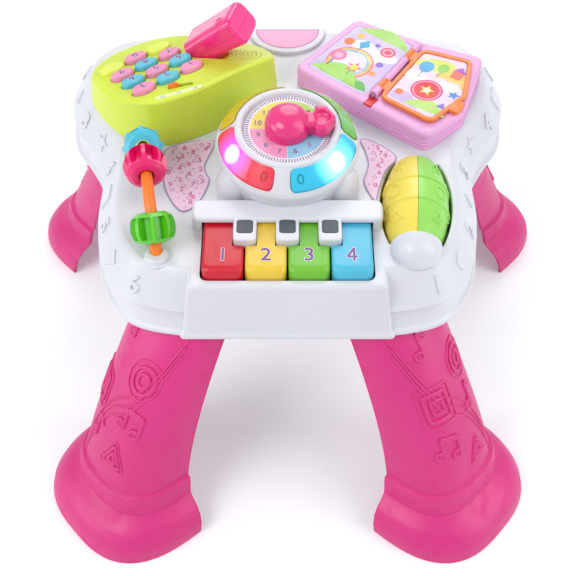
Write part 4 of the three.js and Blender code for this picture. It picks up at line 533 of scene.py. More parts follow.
def settle(made, name, node, body, finish, sharp=32.0, stands_for=None, held=True):
    """Names a finished form, moves it to the scene's metres, shades it and lets it ride on its body."""
    mesh = made.data
    mesh.transform(TABLE)
    forms = bmesh.new()
    forms.from_mesh(mesh)
    bmesh.ops.remove_doubles(forms, verts=forms.verts, dist=0.002 * UNIT)
    limit = math.radians(sharp)
    for edge in forms.edges:
        edge.smooth = len(edge.link_faces) == 2 and edge.calc_face_angle(math.pi) < limit
    for face in forms.faces:
        face.smooth = True
        face.material_index = 0
    if stands_for and held:
        floor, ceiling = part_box(node)
        for vert in forms.verts:
            vert.co = [min(max(c, a), b) for c, a, b in zip(vert.co, floor, ceiling)]
    forms.to_mesh(mesh)
    forms.free()
    mesh.materials.clear()
    mesh.materials.append(finish)
    made.name = mesh.name = name
    weighted = made.modifiers.new("even_shading", "WEIGHTED_NORMAL")
    weighted.keep_sharp = True
    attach(made, body)
    if stands_for:
        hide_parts(*stands_for)
    return made


def moulded(made, node, body, finish, sharp=32.0, held=True):
    return settle(made, f"{node}_moulded", node, body, finish, sharp, [node], held)


# Geometry node trees

def new_tree(name, inputs):
    """Empty tree with a form in, its named sizes, a finish, and a form out."""
    tree = bpy.data.node_groups.new(name, "GeometryNodeTree")
    tree.is_modifier = True
    tree.interface.new_socket("Form", in_out="INPUT", socket_type="NodeSocketGeometry")
    for label, kind, value in inputs:
        tree.interface.new_socket(label, in_out="INPUT", socket_type=kind).default_value = value
    tree.interface.new_socket("Finish", in_out="INPUT", socket_type="NodeSocketMaterial")
    tree.interface.new_socket("Form", in_out="OUTPUT", socket_type="NodeSocketGeometry")
    return tree, tree.nodes.new("NodeGroupInput"), tree.nodes.new("NodeGroupOutput")


def end_tree(tree, given, out, geometry):
    """Ends a tree in Realize Instances and Set Material."""
    realize = tree.nodes.new("GeometryNodeRealizeInstances")
    dress = tree.nodes.new("GeometryNodeSetMaterial")
    tree.links.new(geometry, realize.inputs[0])
    tree.links.new(realize.outputs[0], dress.inputs["Geometry"])
    tree.links.new(given.outputs["Finish"], dress.inputs["Material"])
    tree.links.new(dress.outputs[0], out.inputs[0])
    return tree


def math_node(tree, operation, first, second=None):
    node = tree.nodes.new("ShaderNodeMath")
    node.operation = operation
    for socket, value in zip(node.inputs, (first, second)):
        if isinstance(value, (int, float)):
            socket.default_value = value
        elif value is not None:
            tree.links.new(value, socket)
    return node.outputs[0]


def arc_tree():
    """Repeats a form round an arc: point i stands at Start + Sweep * i / Count."""
    tree, given, out = new_tree("repeat_round_arc", [
        ("Count", "NodeSocketInt", 12), ("Radius", "NodeSocketFloat", 10.0),
        ("Start", "NodeSocketFloat", 0.0), ("Sweep", "NodeSocketFloat", math.tau)])
    points = tree.nodes.new("GeometryNodePoints")
    index = tree.nodes.new("GeometryNodeInputIndex")
    tree.links.new(given.outputs["Count"], points.inputs["Count"])
    share = math_node(tree, "DIVIDE", index.outputs[0], given.outputs["Count"])
    swept = math_node(tree, "MULTIPLY", share, given.outputs["Sweep"])
    angle = math_node(tree, "ADD", swept, given.outputs["Start"])
    place = tree.nodes.new("ShaderNodeCombineXYZ")
    tree.links.new(math_node(tree, "MULTIPLY", math_node(tree, "COSINE", angle), given.outputs["Radius"]),
                   place.inputs["X"])
    tree.links.new(math_node(tree, "MULTIPLY", math_node(tree, "SINE", angle), given.outputs["Radius"]),
                   place.inputs["Y"])
    tree.links.new(place.outputs[0], points.inputs["Position"])
    facing = tree.nodes.new("ShaderNodeCombineXYZ")
    tree.links.new(angle, facing.inputs["Z"])
    stand = tree.nodes.new("GeometryNodeInstanceOnPoints")
    tree.links.new(points.outputs[0], stand.inputs["Points"])
    tree.links.new(given.outputs["Form"], stand.inputs["Instance"])
    tree.links.new(facing.outputs[0], stand.inputs["Rotation"])
    return end_tree(tree, given, out, stand.outputs[0])


def bar_tree():
    """Round bar along every path of a curve object."""
    tree, given, out = new_tree("bar_along_path", [
        ("Radius", "NodeSocketFloat", 1.0), ("Sides", "NodeSocketInt", 12)])
    section = tree.nodes.new("GeometryNodeCurvePrimitiveCircle")
    tree.links.new(given.outputs["Radius"], section.inputs["Radius"])
    tree.links.new(given.outputs["Sides"], section.inputs["Resolution"])
    sweep = tree.nodes.new("GeometryNodeCurveToMesh")
    sweep.inputs["Fill Caps"].default_value = True
    tree.links.new(given.outputs["Form"], sweep.inputs["Curve"])
    tree.links.new(section.outputs[0], sweep.inputs["Profile Curve"])
    return end_tree(tree, given, out, sweep.outputs[0])


def place_tree():
    """Stands a form at each point of the object, turned by the point's own turn."""
    tree, given, out = new_tree("repeat_at_places", [("Item", "NodeSocketObject", None)])
    item = tree.nodes.new("GeometryNodeObjectInfo")
    tree.links.new(given.outputs["Item"], item.inputs["Object"])
    facing = tree.nodes.new("GeometryNodeInputNamedAttribute")
    facing.data_type = "FLOAT_VECTOR"
    facing.inputs["Name"].default_value = "turn"
    stand = tree.nodes.new("GeometryNodeInstanceOnPoints")
    tree.links.new(given.outputs["Form"], stand.inputs["Points"])
    tree.links.new(item.outputs["Geometry"], stand.inputs["Instance"])
    tree.links.new(facing.outputs["Attribute"], stand.inputs["Rotation"])
    return end_tree(tree, given, out, stand.outputs[0])


TREES = {}


def grown(made, tree_name, finish, **values):
    """Runs a tree on an object and keeps the result as its mesh."""
    if not TREES:
        TREES.update(arc=arc_tree(), bar=bar_tree(), place=place_tree())
    tree = TREES[tree_name]
    modifier = made.modifiers.new(tree.name, "NODES")
    modifier.node_group = tree
    sockets = {item.name: item.identifier for item in tree.interface.items_tree if item.in_out == "INPUT"}
    for label, value in {**values, "Finish": finish}.items():
        modifier[sockets[label]] = value
    bpy.context.view_layer.update()
    graph = bpy.context.evaluated_depsgraph_get()
    mesh = bpy.data.meshes.new_from_object(made.evaluated_get(graph))
    bpy.data.objects.remove(made)
    result = bpy.data.objects.new("grown", mesh)
    bpy.context.scene.collection.objects.link(result)
    return result


def bars(paths, radius, sides, finish, where=STILL, closed=False):
    """Round bars along point paths, by the bar tree."""
    curve = bpy.data.curves.new("paths", "CURVE")
    curve.dimensions = "3D"
    for path in paths:
        line = curve.splines.new("POLY")
        line.points.add(len(path) - 1)
        line.use_cyclic_u = closed
        for point, p in zip(line.points, path):
            point.co = (*(where @ Vector(p)), 1.0)
    holder = bpy.data.objects.new("paths", curve)
    bpy.context.scene.collection.objects.link(holder)
    return grown(holder, "bar", finish, Radius=radius, Sides=sides)


def standing_at(item, places, finish):
    """Copies of an item at (x, y, z, turn about Z in degrees) places, by the place tree."""
    holder = solid([p[:3] for p in places], [])
    turns = holder.data.attributes.new("turn", "FLOAT_VECTOR", "POINT")
    turns.data.foreach_set("vector", [c for p in places for c in (0.0, 0.0, math.radians(p[3]))])
    made = grown(holder, "place", finish, Item=item)
    bpy.data.objects.remove(item)
    return made


# Finishes

FINISHES = {}


class Finish:
    """A material under construction, with its Principled shader."""

    def __init__(self, name, roughness):
        self.material = bpy.data.materials.new(name)
        self.material.use_nodes = True
        self.nodes = self.material.node_tree.nodes
        self.links = self.material.node_tree.links
        self.shader = self.nodes["Principled BSDF"]
        self.give(Roughness=roughness)
        self.spot = self.nodes.new("ShaderNodeTexCoord").outputs["Object"]

    def noise(self, scale, detail=3.0, stretch=None):
        node = self.nodes.new("ShaderNodeTexNoise")
        node.inputs["Scale"].default_value = scale
        node.inputs["Detail"].default_value = detail
        source = self.spot
        if stretch:
            mapping = self.nodes.new("ShaderNodeMapping")
            mapping.inputs["Scale"].default_value = stretch
            self.links.new(self.spot, mapping.inputs[0])
            source = mapping.outputs[0]
        self.links.new(source, node.inputs["Vector"])
        return node.outputs[0]

    def spread(self, value, low_in, high_in, low_out, high_out):
        node = self.nodes.new("ShaderNodeMapRange")
        for socket, number in zip(node.inputs[1:5], (low_in, high_in, low_out, high_out)):
            socket.default_value = number
        self.links.new(value, node.inputs[0])
        return node.outputs[0]

    def mix(self, share, first, second, kind="MIX"):
        node = self.nodes.new("ShaderNodeMix")
        node.data_type = "RGBA"
        node.blend_type = kind
        for socket, value in zip((node.inputs[0], node.inputs[6], node.inputs[7]), (share, first, second)):
            if isinstance(value, (tuple, list)):
                socket.default_value = (*value[:3], 1.0)
            elif isinstance(value, (int, float)):
                socket.default_value = value
            else:
                self.links.new(value, socket)
        return node.outputs[2]

    def bump(self, height, strength, distance):
        node = self.nodes.new("ShaderNodeBump")
        node.inputs["Strength"].default_value = strength
        node.inputs["Distance"].default_value = distance
        self.links.new(height, node.inputs["Height"])
        self.links.new(node.outputs[0], self.shader.inputs["Normal"])

    def give(self, **values):
        """Sets inputs of the shader, with Coat_Weight standing for Coat Weight."""
        for name, value in values.items():
            self.shader.inputs[name.replace("_", " ")].default_value = value

    def colour(self, value):
        self.links.new(value, self.shader.inputs["Base Color"])

    def rough(self, value):
        self.links.new(value, self.shader.inputs["Roughness"])


def plastic(name, colour, roughness=0.32, grain=0.12, mottle=0.05, coat=0.0, clear=0.0, glow=0.0):
    """Moulded plastic: faint flow mottle, handling scuffs in the gloss, and a fine tool grain."""
    if name in FINISHES:
        return FINISHES[name]
    made = Finish(name, roughness)
    flow = made.spread(made.noise(14.0, 2.0, (1.0, 1.0, 0.5)), 0.35, 0.65, 0.0, 1.0)
    deep = tuple(c * (1 - mottle * 1.6) for c in colour)
    bright = tuple(min(1.0, c * (1 + mottle * 0.4)) for c in colour)
    made.colour(made.mix(flow, deep, bright))
    scuffs = made.spread(made.noise(85.0, 6.0, (1.0, 0.25, 1.0)), 0.52, 0.72, roughness,
                         min(1.0, roughness + 0.22))
    made.rough(scuffs)
    made.bump(made.noise(1500.0, 2.0), grain, 0.00012)
    made.give(Coat_Weight=coat, Coat_Roughness=0.08, Transmission_Weight=clear, IOR=1.5)
    if glow:
        made.give(Emission_Color=(*colour, 1.0), Emission_Strength=glow)
    FINISHES[name] = made.material
    return made.material


def tinted_plastic(name, colour, painted_show_through):
    """Tinted clear plastic with a painted glow, painted redder toward its foot as if the console showed
    through.
    """
    made = Finish(name, 0.14)
    place = made.nodes.new("ShaderNodeSeparateXYZ")
    made.links.new(made.spot, place.inputs[0])
    # Painted show-through: below these heights the handset turns to the foot's red, as if the console showed
    # through.
    show_through_share = made.spread(place.outputs["Z"], *HANDSET_SHOW_THROUGH_FADE, 1.0, 0.0)
    flow = made.spread(made.noise(30.0, 2.0), 0.35, 0.65, 0.0, 1.0)
    base = made.mix(flow, tuple(c * 0.9 for c in colour), colour)
    base = made.mix(show_through_share, base, painted_show_through)
    made.colour(base)
    made.rough(made.spread(made.noise(85.0, 5.0), 0.5, 0.72, 0.12, 0.26))
    made.bump(made.noise(700.0, 2.0), 0.03, 0.0001)
    # Painted glow: the plastic gives off a faint light of its own colour, though no lamp is inside the
    # handset.
    made.give(Coat_Weight=0.4, Transmission_Weight=0.3, Emission_Strength=0.16)
    made.links.new(base, made.shader.inputs["Emission Color"])
    return made.material


def printed(name, roughness=0.4):
    """Printed card: the ink attribute under a fine paper fibre and slightly uneven ink."""
    if name in FINISHES:
        return FINISHES[name]
    made = Finish(name, roughness)
    ink = made.nodes.new("ShaderNodeAttribute")
    ink.attribute_name = "ink"
    fade = made.spread(made.noise(420.0, 4.0), 0.3, 0.7, 0.9, 1.0)
    grey = made.nodes.new("ShaderNodeCombineColor")
    for socket in grey.inputs[:3]:
        made.links.new(fade, socket)
    made.colour(made.mix(1.0, ink.outputs["Color"], grey.outputs[0], "MULTIPLY"))
    made.rough(made.spread(made.noise(60.0), 0.4, 0.7, roughness, roughness + 0.15))
    made.bump(made.noise(900.0, 4.0), 0.08, 0.0001)
    FINISHES[name] = made.material
    return made.material


def steel_wire():
    made = Finish("steel_wire", 0.25)
    made.give(Metallic=1.0)
    streaks = made.noise(300.0, 4.0, (0.02, 1.0, 1.0))
    made.colour(made.mix(streaks, paint("9a9aa0"), paint("c8c8cc")))
    made.rough(made.spread(streaks, 0.3, 0.7, 0.2, 0.4))
    made.bump(streaks, 0.1, 0.0001)
    return made.material


def board_lacquer():
    made = Finish("board_lacquer", 0.35)
    tracks = made.nodes.new("ShaderNodeTexBrick")
    tracks.inputs["Scale"].default_value = 160.0
    tracks.inputs["Color1"].default_value = (*paint("1f6b38"), 1)
    tracks.inputs["Color2"].default_value = (*paint("257a41"), 1)
    tracks.inputs["Mortar"].default_value = (*paint("3c9a58"), 1)
    made.links.new(made.spot, tracks.inputs["Vector"])
    made.colour(tracks.outputs["Color"])
    made.rough(made.spread(made.noise(90.0), 0.4, 0.7, 0.3, 0.45))
    made.bump(tracks.outputs["Fac"], 0.3, 0.0002)
    return made.material


def battery_wrap():
    made = Finish("battery_wrap", 0.3)
    wave = made.nodes.new("ShaderNodeTexWave")
    wave.inputs["Scale"].default_value = 14.0
    made.links.new(made.spot, wave.inputs["Vector"])
    band = made.spread(wave.outputs["Fac"], 0.72, 0.78, 0.0, 1.0)
    made.colour(made.mix(band, paint("3c4650"), paint("c08a3c")))
    made.rough(made.spread(made.noise(120.0), 0.4, 0.7, 0.28, 0.42))
    made.bump(made.noise(700.0), 0.05, 0.0001)
    return made.material


# Sizes and colours that a user would change

def size(label, text, value):
    return bpy.props.FloatProperty(name=label, description=text, default=value * UNIT, unit="LENGTH",
                                   precision=5)


def shade(label, text, value):
    return bpy.props.FloatVectorProperty(name=label, description=text, subtype="COLOR", default=paint(value),
                                         min=0.0, max=1.0)


class TableSizes(bpy.types.PropertyGroup):
    """Sizes of the surface detail."""
    relief: size("Relief", "Half the width of the raised lines on the legs", 1.7)
    rim_letter: size("Rim figure", "Height of the raised figures round the rim", 19.5)
    key_numeral: size("Key numeral", "Height of the numeral on each piano key", 17.0)
    button_numeral: size("Button numeral", "Height of the numeral on each number button", 9.5)
    dial_numeral: size("Dial numeral", "Height of the numbers on the dial", 6.5)
    print_rise: size("Print thickness", "How far a print stands proud of its sheet", 0.12)
    grille_dot: size("Sound hole", "Radius of a hole in the loudspeaker grille", 0.95)
    edge: size("Edge", "Rounding of the small moulded edges", 0.8)
    table_facets: bpy.props.IntProperty(name="Outline facets", description="Facets round the table's outline",
                                        default=208, min=52)


class TableColours(bpy.types.PropertyGroup):
    """Colours of the plastics and inks."""
    shell: shade("Shell", "White plastic of the table top and bottom", "D9DAE3")
    leg: shade("Legs", "Pink plastic of the legs", "D42A7E")
    lime: shade("Console", "Lime plastic of the phone console", "D2E443")
    handset: shade("Handset", "Tinted clear plastic of the handset", "F42A92")
    knob: shade("Knob", "Magenta plastic of the pointer knob", "E4287C")
    book: shade("Book", "Pink plastic of the book", "E9ACDD")
    orange: shade("Orange", "Orange plastic of the page frame, rod and slider", "F57D28")
    dark: shade("Dark", "Dark grey plastic", "3C4650")
    purple: shade("Numerals", "Purple ink of the numerals", "6E2A8C")
    halo: shade("Outline ink", "White ink round the numerals", "FFFFFF")
    plate: shade("Nameplate", "Pink of the bare nameplate", "E68CBE")
    panel: shade("Panels", "Pale pink ground of the printed panels", "F0CDE6")


def sizes():
    return bpy.context.scene.table_sizes


def colours():
    return bpy.context.scene.table_colours


def white_shell():
    return plastic("white_shell_plastic", tuple(colours().shell), 0.3, 0.1, 0.02)


# Table top

def block_ring(z, grow):
    rise = (z - LIP_HEIGHT) / (PLAY_HEIGHT - LIP_HEIGHT)
    half = lerp(BLOCK_FOOT[0], BLOCK_TOP[0], rise) + grow
    front = lerp(BLOCK_FOOT[1], BLOCK_TOP[1], rise) + grow
    return ring_at(rounded(rectangle(-half, half, -front, -BLOCK_REAR), BLOCK_ROUND), z)


def rim_skin(outline):
    return loft([ring_at(outline, z, inset) for z, inset in spline(RIM_PROFILE, 36, False)])


def block_skin():
    rings = [block_ring(z, grow) for z, grow in BLOCK_LIP]
    rings += [block_ring(PLAY_HEIGHT - BLOCK_ROUND * fall, -BLOCK_ROUND * away) for away, fall in quarter(6)]
    return loft(rings)


def key_shelf():
    shelf = rounded(rectangle(-SHELF_HALF, SHELF_HALF, SHELF_FRONT, SHELF_REAR), SHELF_CORNER)
    parts = [soft_prism(shelf, PLAY_HEIGHT - SHELL_WALL, SHELF_TOP, BRIDGE_ROUND)]
    for x in BRIDGES:
        slab = rounded(rectangle(x - BRIDGE_WIDTH / 2, x + BRIDGE_WIDTH / 2, BRIDGE_FRONT,
                                 SHELF_FRONT + SHELF_CORNER * 2), STRIP_CORNER * 1.6)
        drop = rounded(rectangle(x - BRIDGE_WIDTH / 2, x + BRIDGE_WIDTH / 2, BRIDGE_FRONT,
                                 SHELF_FRONT + SHELF_CORNER),
                       STRIP_CORNER * 1.6)
        parts.append(soft_prism(slab, SHELF_TOP - SHELF_THICK, SHELF_TOP - STRIP_PROUD, 1.3))
        parts.append(soft_prism(drop, KEY_TOP - BRIDGE_DROP, SHELF_TOP - BRIDGE_ROUND / 2, 0.8))
    return parts


def key_opening():
    half = KEYS_HALF + KEY_GAP
    base = PLAY_HEIGHT - SHELL_WALL - OVERRUN
    front = rectangle(-half, half, KEY_FRONT_Y - KEY_LEAN - KEY_GAP, SHELF_FRONT + KEY_CORNER)
    return [box(-half, half, SHELF_FRONT, KEY_REAR_Y + RUNNING_GAP * 3, base, SHELF_TOP - SHELF_THICK),
            prism(rounded(front, KEY_CORNER), base, KEY_TOP - BRIDGE_DROP)]


def key_rod_bore():
    half = KEYS_HALF + KEY_ROD_OVERHANG + SEAT_GAP
    return tube([(-half, HINGE_Y, HINGE_Z), (half, HINGE_Y, HINGE_Z)], KEY_ROD + SEAT_GAP)


def roller_swell(y):
    share = min(1.0, abs(y) / (ROLLER_LENGTH / 2))
    return ROLLER_END + (ROLLER_RADIUS - ROLLER_END) * max(0.0, math.cos(share * math.pi / 2)) ** 0.7


def roller_opening():
    half = ROLLER_LENGTH / 2 + ROLLER_GAP
    stations = [half * math.sin(math.pi / 2 * k / 16) for k in range(-16, 17)]
    edge = [(roller_swell(y) + ROLLER_GAP, y) for y in stations]
    outline = edge + [(-x, -y) for x, y in edge]
    levels = [(-ROLLER_RADIUS - ROLLER_GAP, 0.0), *ROLLER_LIP]
    return loft([ring_at(outline, z, inset) for z, inset in levels], ROLLER)


def roller_surround(outline):
    half = ROLLER_LENGTH / 2 + ROLLER_GAP + SHELL_WALL
    wide = ROLLER_RADIUS + ROLLER_GAP + SHELL_WALL
    well = box(-wide, wide, -half, half, -wide, PLAY_HEIGHT - ROLLER_PLACE[2] - SHELL_WALL / 2, ROLLER)
    front = -half + SHELL_WALL
    place = ROLLER @ shift(0, front, PLAY_HEIGHT - ROLLER_PLACE[2]) @ Matrix.Diagonal((*HOOD, 1))
    dome = lathe(ball_profile(18), place, 72)
    low, high = HOOD_SEAT - SHELL_WALL / 2, HOOD_SEAT + HOOD[2] * 2
    keep = box(-HOOD[0] * 2, HOOD[0] * 2, front - HOOD[1] * 2, front, low, high, ROLLER)
    return meet(well, rim_skin(outline)), meet(dome, keep)


def track_arc(extra=0.0, count=64):
    """Middle line of the rod, with an extra angle past each end."""
    end = math.acos((-ROD_SOCKET - TRACK_CENTRE) / TRACK_RADIUS) + extra
    return [(0, TRACK_RADIUS * math.sin(a), TRACK_CENTRE + TRACK_RADIUS * math.cos(a))
            for a in (end * (2 * i / (count - 1) - 1) for i in range(count))]


def track_posts():
    low_end = -ROD_SOCKET - SHELL_WALL
    profile = [(0, low_end), (POST_RADIUS, low_end), (POST_RADIUS + 1.2, 0), (POST_RADIUS + 0.3, 0.5),
               (POST_RADIUS, 1.4)]
    profile += [(POST_RADIUS - POST_ROUND * away, POST_HEIGHT - POST_ROUND * fall)
                for away, fall in quarter(6)]
    return [lathe(profile + [(0, POST_HEIGHT)], TRACK @ shift(0, y), 64) for y in (-TRACK_REACH, TRACK_REACH)]


def plate_outline(grow):
    front = [((PLATE_HALF + grow) * math.cos(math.pi * (1 + i / 48)),
              PLATE_Y + (PLATE_DEPTH + grow) * math.sin(math.pi * (1 + i / 48))) for i in range(49)]
    return front + [(PLATE_HALF + grow, PLATE_Y + grow / 2), (-PLATE_HALF - grow, PLATE_Y + grow / 2)]


def plate_recess():
    floor_z = PLAY_HEIGHT + PAD_RAISE - PLATE_THICK
    return loft([ring_at(plate_outline(SEAT_GAP), z) for z in (floor_z, floor_z + OVERRUN)])


def top_shell():
    outline = table_outline(sizes().table_facets)
    skin = cut(join(rim_skin(outline), block_skin()),
               loft([ring_at(outline, z, inset) for z, inset in CAVITY_PROFILE]),
               loft([block_ring(LIP_HEIGHT - OVERRUN, -SHELL_WALL),
                     block_ring(PLAY_HEIGHT - SHELL_WALL, -SHELL_WALL)]))
    pad = soft_prism(plate_outline(PAD_MARGIN), PLAY_HEIGHT - SHELL_WALL / 2, PLAY_HEIGHT + PAD_RAISE, 1.5)
    whole = join(skin, *key_shelf(), *roller_surround(outline), *track_posts(), pad)
    recesses = [prism(rounded(rectangle(x - STRIP_WIDTH / 2 - SEAT_GAP, x + STRIP_WIDTH / 2 + SEAT_GAP,
                                        SHELF_FRONT - STRIP_LENGTH - SEAT_GAP, SHELF_FRONT), STRIP_CORNER),
                      SHELF_TOP - STRIP_PROUD - STRIP_DEPTH, SHELF_TOP + OVERRUN) for x in BRIDGES]
    axle = AXLE_RADIUS + SEAT_GAP
    half = ROLLER_LENGTH / 2 + ROLLER_GAP + AXLE_SEAT + SEAT_GAP
    whole = cut(whole, *key_opening(), key_rod_bore(), *recesses, roller_opening(),
                tube([(0, -half, 0), (0, half, 0)], axle, 32, ROLLER),
                tube(track_arc(0.02), ROD_RADIUS + SEAT_GAP, 32, TRACK), plate_recess())
    moulded(whole, "top_shell", "table", white_shell(), 30.0)


def shape_outline(kind, radius):
    """Plain figures for the reliefs and prints."""
    if kind == "square":
        return rounded(rectangle(-radius, radius, -radius, radius), radius * 0.25, 3)
    points = {"triangle": 3, "star": 10, "diamond": 4}.get(kind, 28)
    made = []
    for i in range(points):
        a = math.tau * i / points + math.pi / 2
        reach = radius * (0.45 if kind == "star" and i % 2 else 1.0)
        made.append((reach * math.cos(a), reach * math.sin(a)))
    return made if kind in ("circle", "star") else rounded(made, radius * 0.12, 3)


def rim_figures():
    """Raised numerals and plain figures on the sloping rim, clear of the piano block."""
    outline = table_outline(sizes().table_facets * 4)
    total = len(outline)
    letter = sizes().rim_letter / UNIT
    lean = Vector((RIM_SLOPE_TOP[1] - RIM_SLOPE_FOOT[1], RIM_SLOPE_TOP[0] - RIM_SLOPE_FOOT[0])).normalized()
    middle_z = (RIM_SLOPE_FOOT[0] + RIM_SLOPE_TOP[0]) / 2
    inset = (RIM_SLOPE_FOOT[1] + RIM_SLOPE_TOP[1]) / 2
    ring = ring_at(outline, middle_z, inset)
    walked, made, count = RIM_FIGURE_STEP * 0.5, [], 0
    for i in range(total):
        p, q = Vector(ring[i]), Vector(ring[(i + 1) % total])
        walked += (q - p).length
        if walked < RIM_FIGURE_STEP:
            continue
        walked = 0.0
        if p.y < 0 and abs(p.x) < BLOCK_FOOT[0] + letter:
            continue
        along = (q - p).normalized()
        inward = Vector((-along.y, along.x, 0))
        rise = (inward * lean.x + Vector((0, 0, lean.y))).normalized()
        out = along.cross(rise)
        where = Matrix((along, rise, out)).transposed().to_4x4()
        where.translation = p - out * 0.5
        what = RIM_FIGURES[count % len(RIM_FIGURES)]
        count += 1
        if what.isdigit():
            made.append(glyph(what, letter, RIM_FIGURE_RISE, 0.5, where))
        else:
            made.append(soft_prism(shape_outline(what, letter * 0.4), 0, RIM_FIGURE_RISE, 0.7, where, 2))
    settle(gather(made), "rim_figures", "top_shell", "table", white_shell())


# Underside

def underside():
    node = frame["nodes"]
    for name in ("bottom_shell", "battery_door"):
        dress(node[name], white_shell())
    wrap, wire = battery_wrap(), steel_wire()
    for name in ("battery_1", "battery_2"):
        dress(node[name], wrap)
    for name in ("piano_hinge_rod", "roller_axle", "page_pin"):
        dress(node[name], wire)
    dress(node["circuit_board"], board_lacquer())
    dress(node["keypad_mat"], plastic("keypad_rubber", paint("D8D8D8"), 0.75, 0.4))
    dress(node["loudspeaker"], plastic("speaker_cone", paint("2A2C30"), 0.7, 0.5))
    # Screw heads on the bottom shell
    head = screw_head(SCREW_RADIUS)
    places = [(x, y, LIP_HEIGHT + 0.35, 37.0 * i) for i, (x, y) in enumerate(SCREW_PLACES)]
    heads = standing_at(head, places, wire)
    settle(heads, "bottom_screws", "bottom_shell", "table", wire)


def dress(node, finish):
    node.data.materials.clear()
    node.data.materials.append(finish)


def screw_head(radius):
    """Cross-head screw, its head below z = 0 facing down."""
    head = lathe([(radius * share, z) for share, z in reversed(SCREW_PROFILE)], STILL, 28)
    arm, wide, deep = radius * 0.58, SCREW_SLOT / 2, (-1.5, 0.4)
    return cut(head, box(-arm, arm, -wide, wide, *deep), box(-wide, wide, -arm, arm, *deep))


# Legs

def leg_arc(section, trim, count):
    made = []
    power = lerp(1.0, LEG_ROUNDNESS, section["square"])
    for i in range(count + 1):
        a = math.pi * (i / count - 0.5)
        c, s = math.cos(a), math.sin(a)
        made.append((section["lean"] + (section["depth"] - trim) * math.copysign(abs(c) ** power, c),
                     section["shift"] + (section["half"] - trim) * math.copysign(abs(s) ** power, s)))
    return made


def leg_section(z, side, hip_lean):
    """Section of a leg at a height: its foot below, its shank above."""
    if z <= FOOT_HEIGHT:
        rise = z / FOOT_HEIGHT
        k = next(i for i in range(len(FOOT_RISE) - 1) if rise <= FOOT_RISE[i + 1])
        w = (rise - FOOT_RISE[k]) / (FOOT_RISE[k + 1] - FOOT_RISE[k])
        spread = lerp(FOOT_SPREAD[k], FOOT_SPREAD[k + 1], w)
        return {"lean": -ANKLE_LEAN * rise, "square": 1.0, "shift": 0.0,
                "half": lerp(ANKLE_HALF, FOOT_HALF, spread), "depth": lerp(ANKLE_DEPTH, FOOT_DEPTH, spread)}
    rise = (min(z, HIP_HEIGHT) - FOOT_HEIGHT) / (HIP_HEIGHT - FOOT_HEIGHT)
    return {"lean": -lerp(ANKLE_LEAN, hip_lean, rise ** LEAN_EASE), "square": 1 - rise,
            "shift": -HIP_SHIFT * side * rise, "half": lerp(ANKLE_HALF, HIP_HALF, math.sqrt(rise)),
            "depth": lerp(ANKLE_DEPTH, HIP_DEPTH, rise)}


def leg_solid(side, hip_lean, where):
    """Thin open channel through pairs of arcs, an outer and an inner one at each level."""
    count = 44
    levels = [(FOOT_HEIGHT * share, 0.0, LEG_WALL) for share in FOOT_LEVELS]
    levels[0] = (0.0, 1.0, LEG_WALL)
    levels.insert(1, (0.6, 0.25, LEG_WALL))
    levels += [(FOOT_HEIGHT + rise, trim, LEG_WALL) for rise, trim in BAND_EDGE]
    levels += [(BAND_TOP - rise, trim, LEG_WALL) for rise, trim in reversed(BAND_EDGE)]
    shank, tenon = BAND_PROUD + LEG_WALL, TENON_INSET + LEG_WALL
    levels += [(BAND_TOP, 0.0, shank), (BAND_TOP + 0.15, BAND_PROUD - 0.5, shank),
               (BAND_TOP + 0.7, BAND_PROUD, shank)]
    top = HIP_HEIGHT - LEG_SHOULDER * 2
    levels += [(lerp(BAND_TOP, top, (k + 1) / 15), BAND_PROUD, shank) for k in range(15)]
    levels += [(HIP_HEIGHT - LEG_SHOULDER, BAND_PROUD, tenon), (HIP_HEIGHT, BAND_PROUD, tenon),
               (HIP_HEIGHT + 0.01, TENON_INSET, tenon), (HIP_HEIGHT + TENON_HEIGHT, TENON_INSET, tenon)]
    verts = []
    for z, outer, inner in levels:
        section = leg_section(z, side, hip_lean)
        verts += [(*p, z) for p in leg_arc(section, outer, count)]
        verts += [(*p, z) for p in reversed(leg_arc(section, inner, count))]
    ring, arc = (count + 1) * 2, count + 1
    last = (len(levels) - 1) * ring
    faces = [(b + i, b + (i + 1) % ring, b + ring + (i + 1) % ring, b + ring + i)
             for b in range(0, last, ring) for i in range(ring)]
    for i in range(arc - 1):
        quad = (i, i + 1, ring - 2 - i, ring - 1 - i)
        faces.append(tuple(reversed(quad)))
        faces.append(tuple(last + k for k in quad))
    return solid(verts, faces, where)


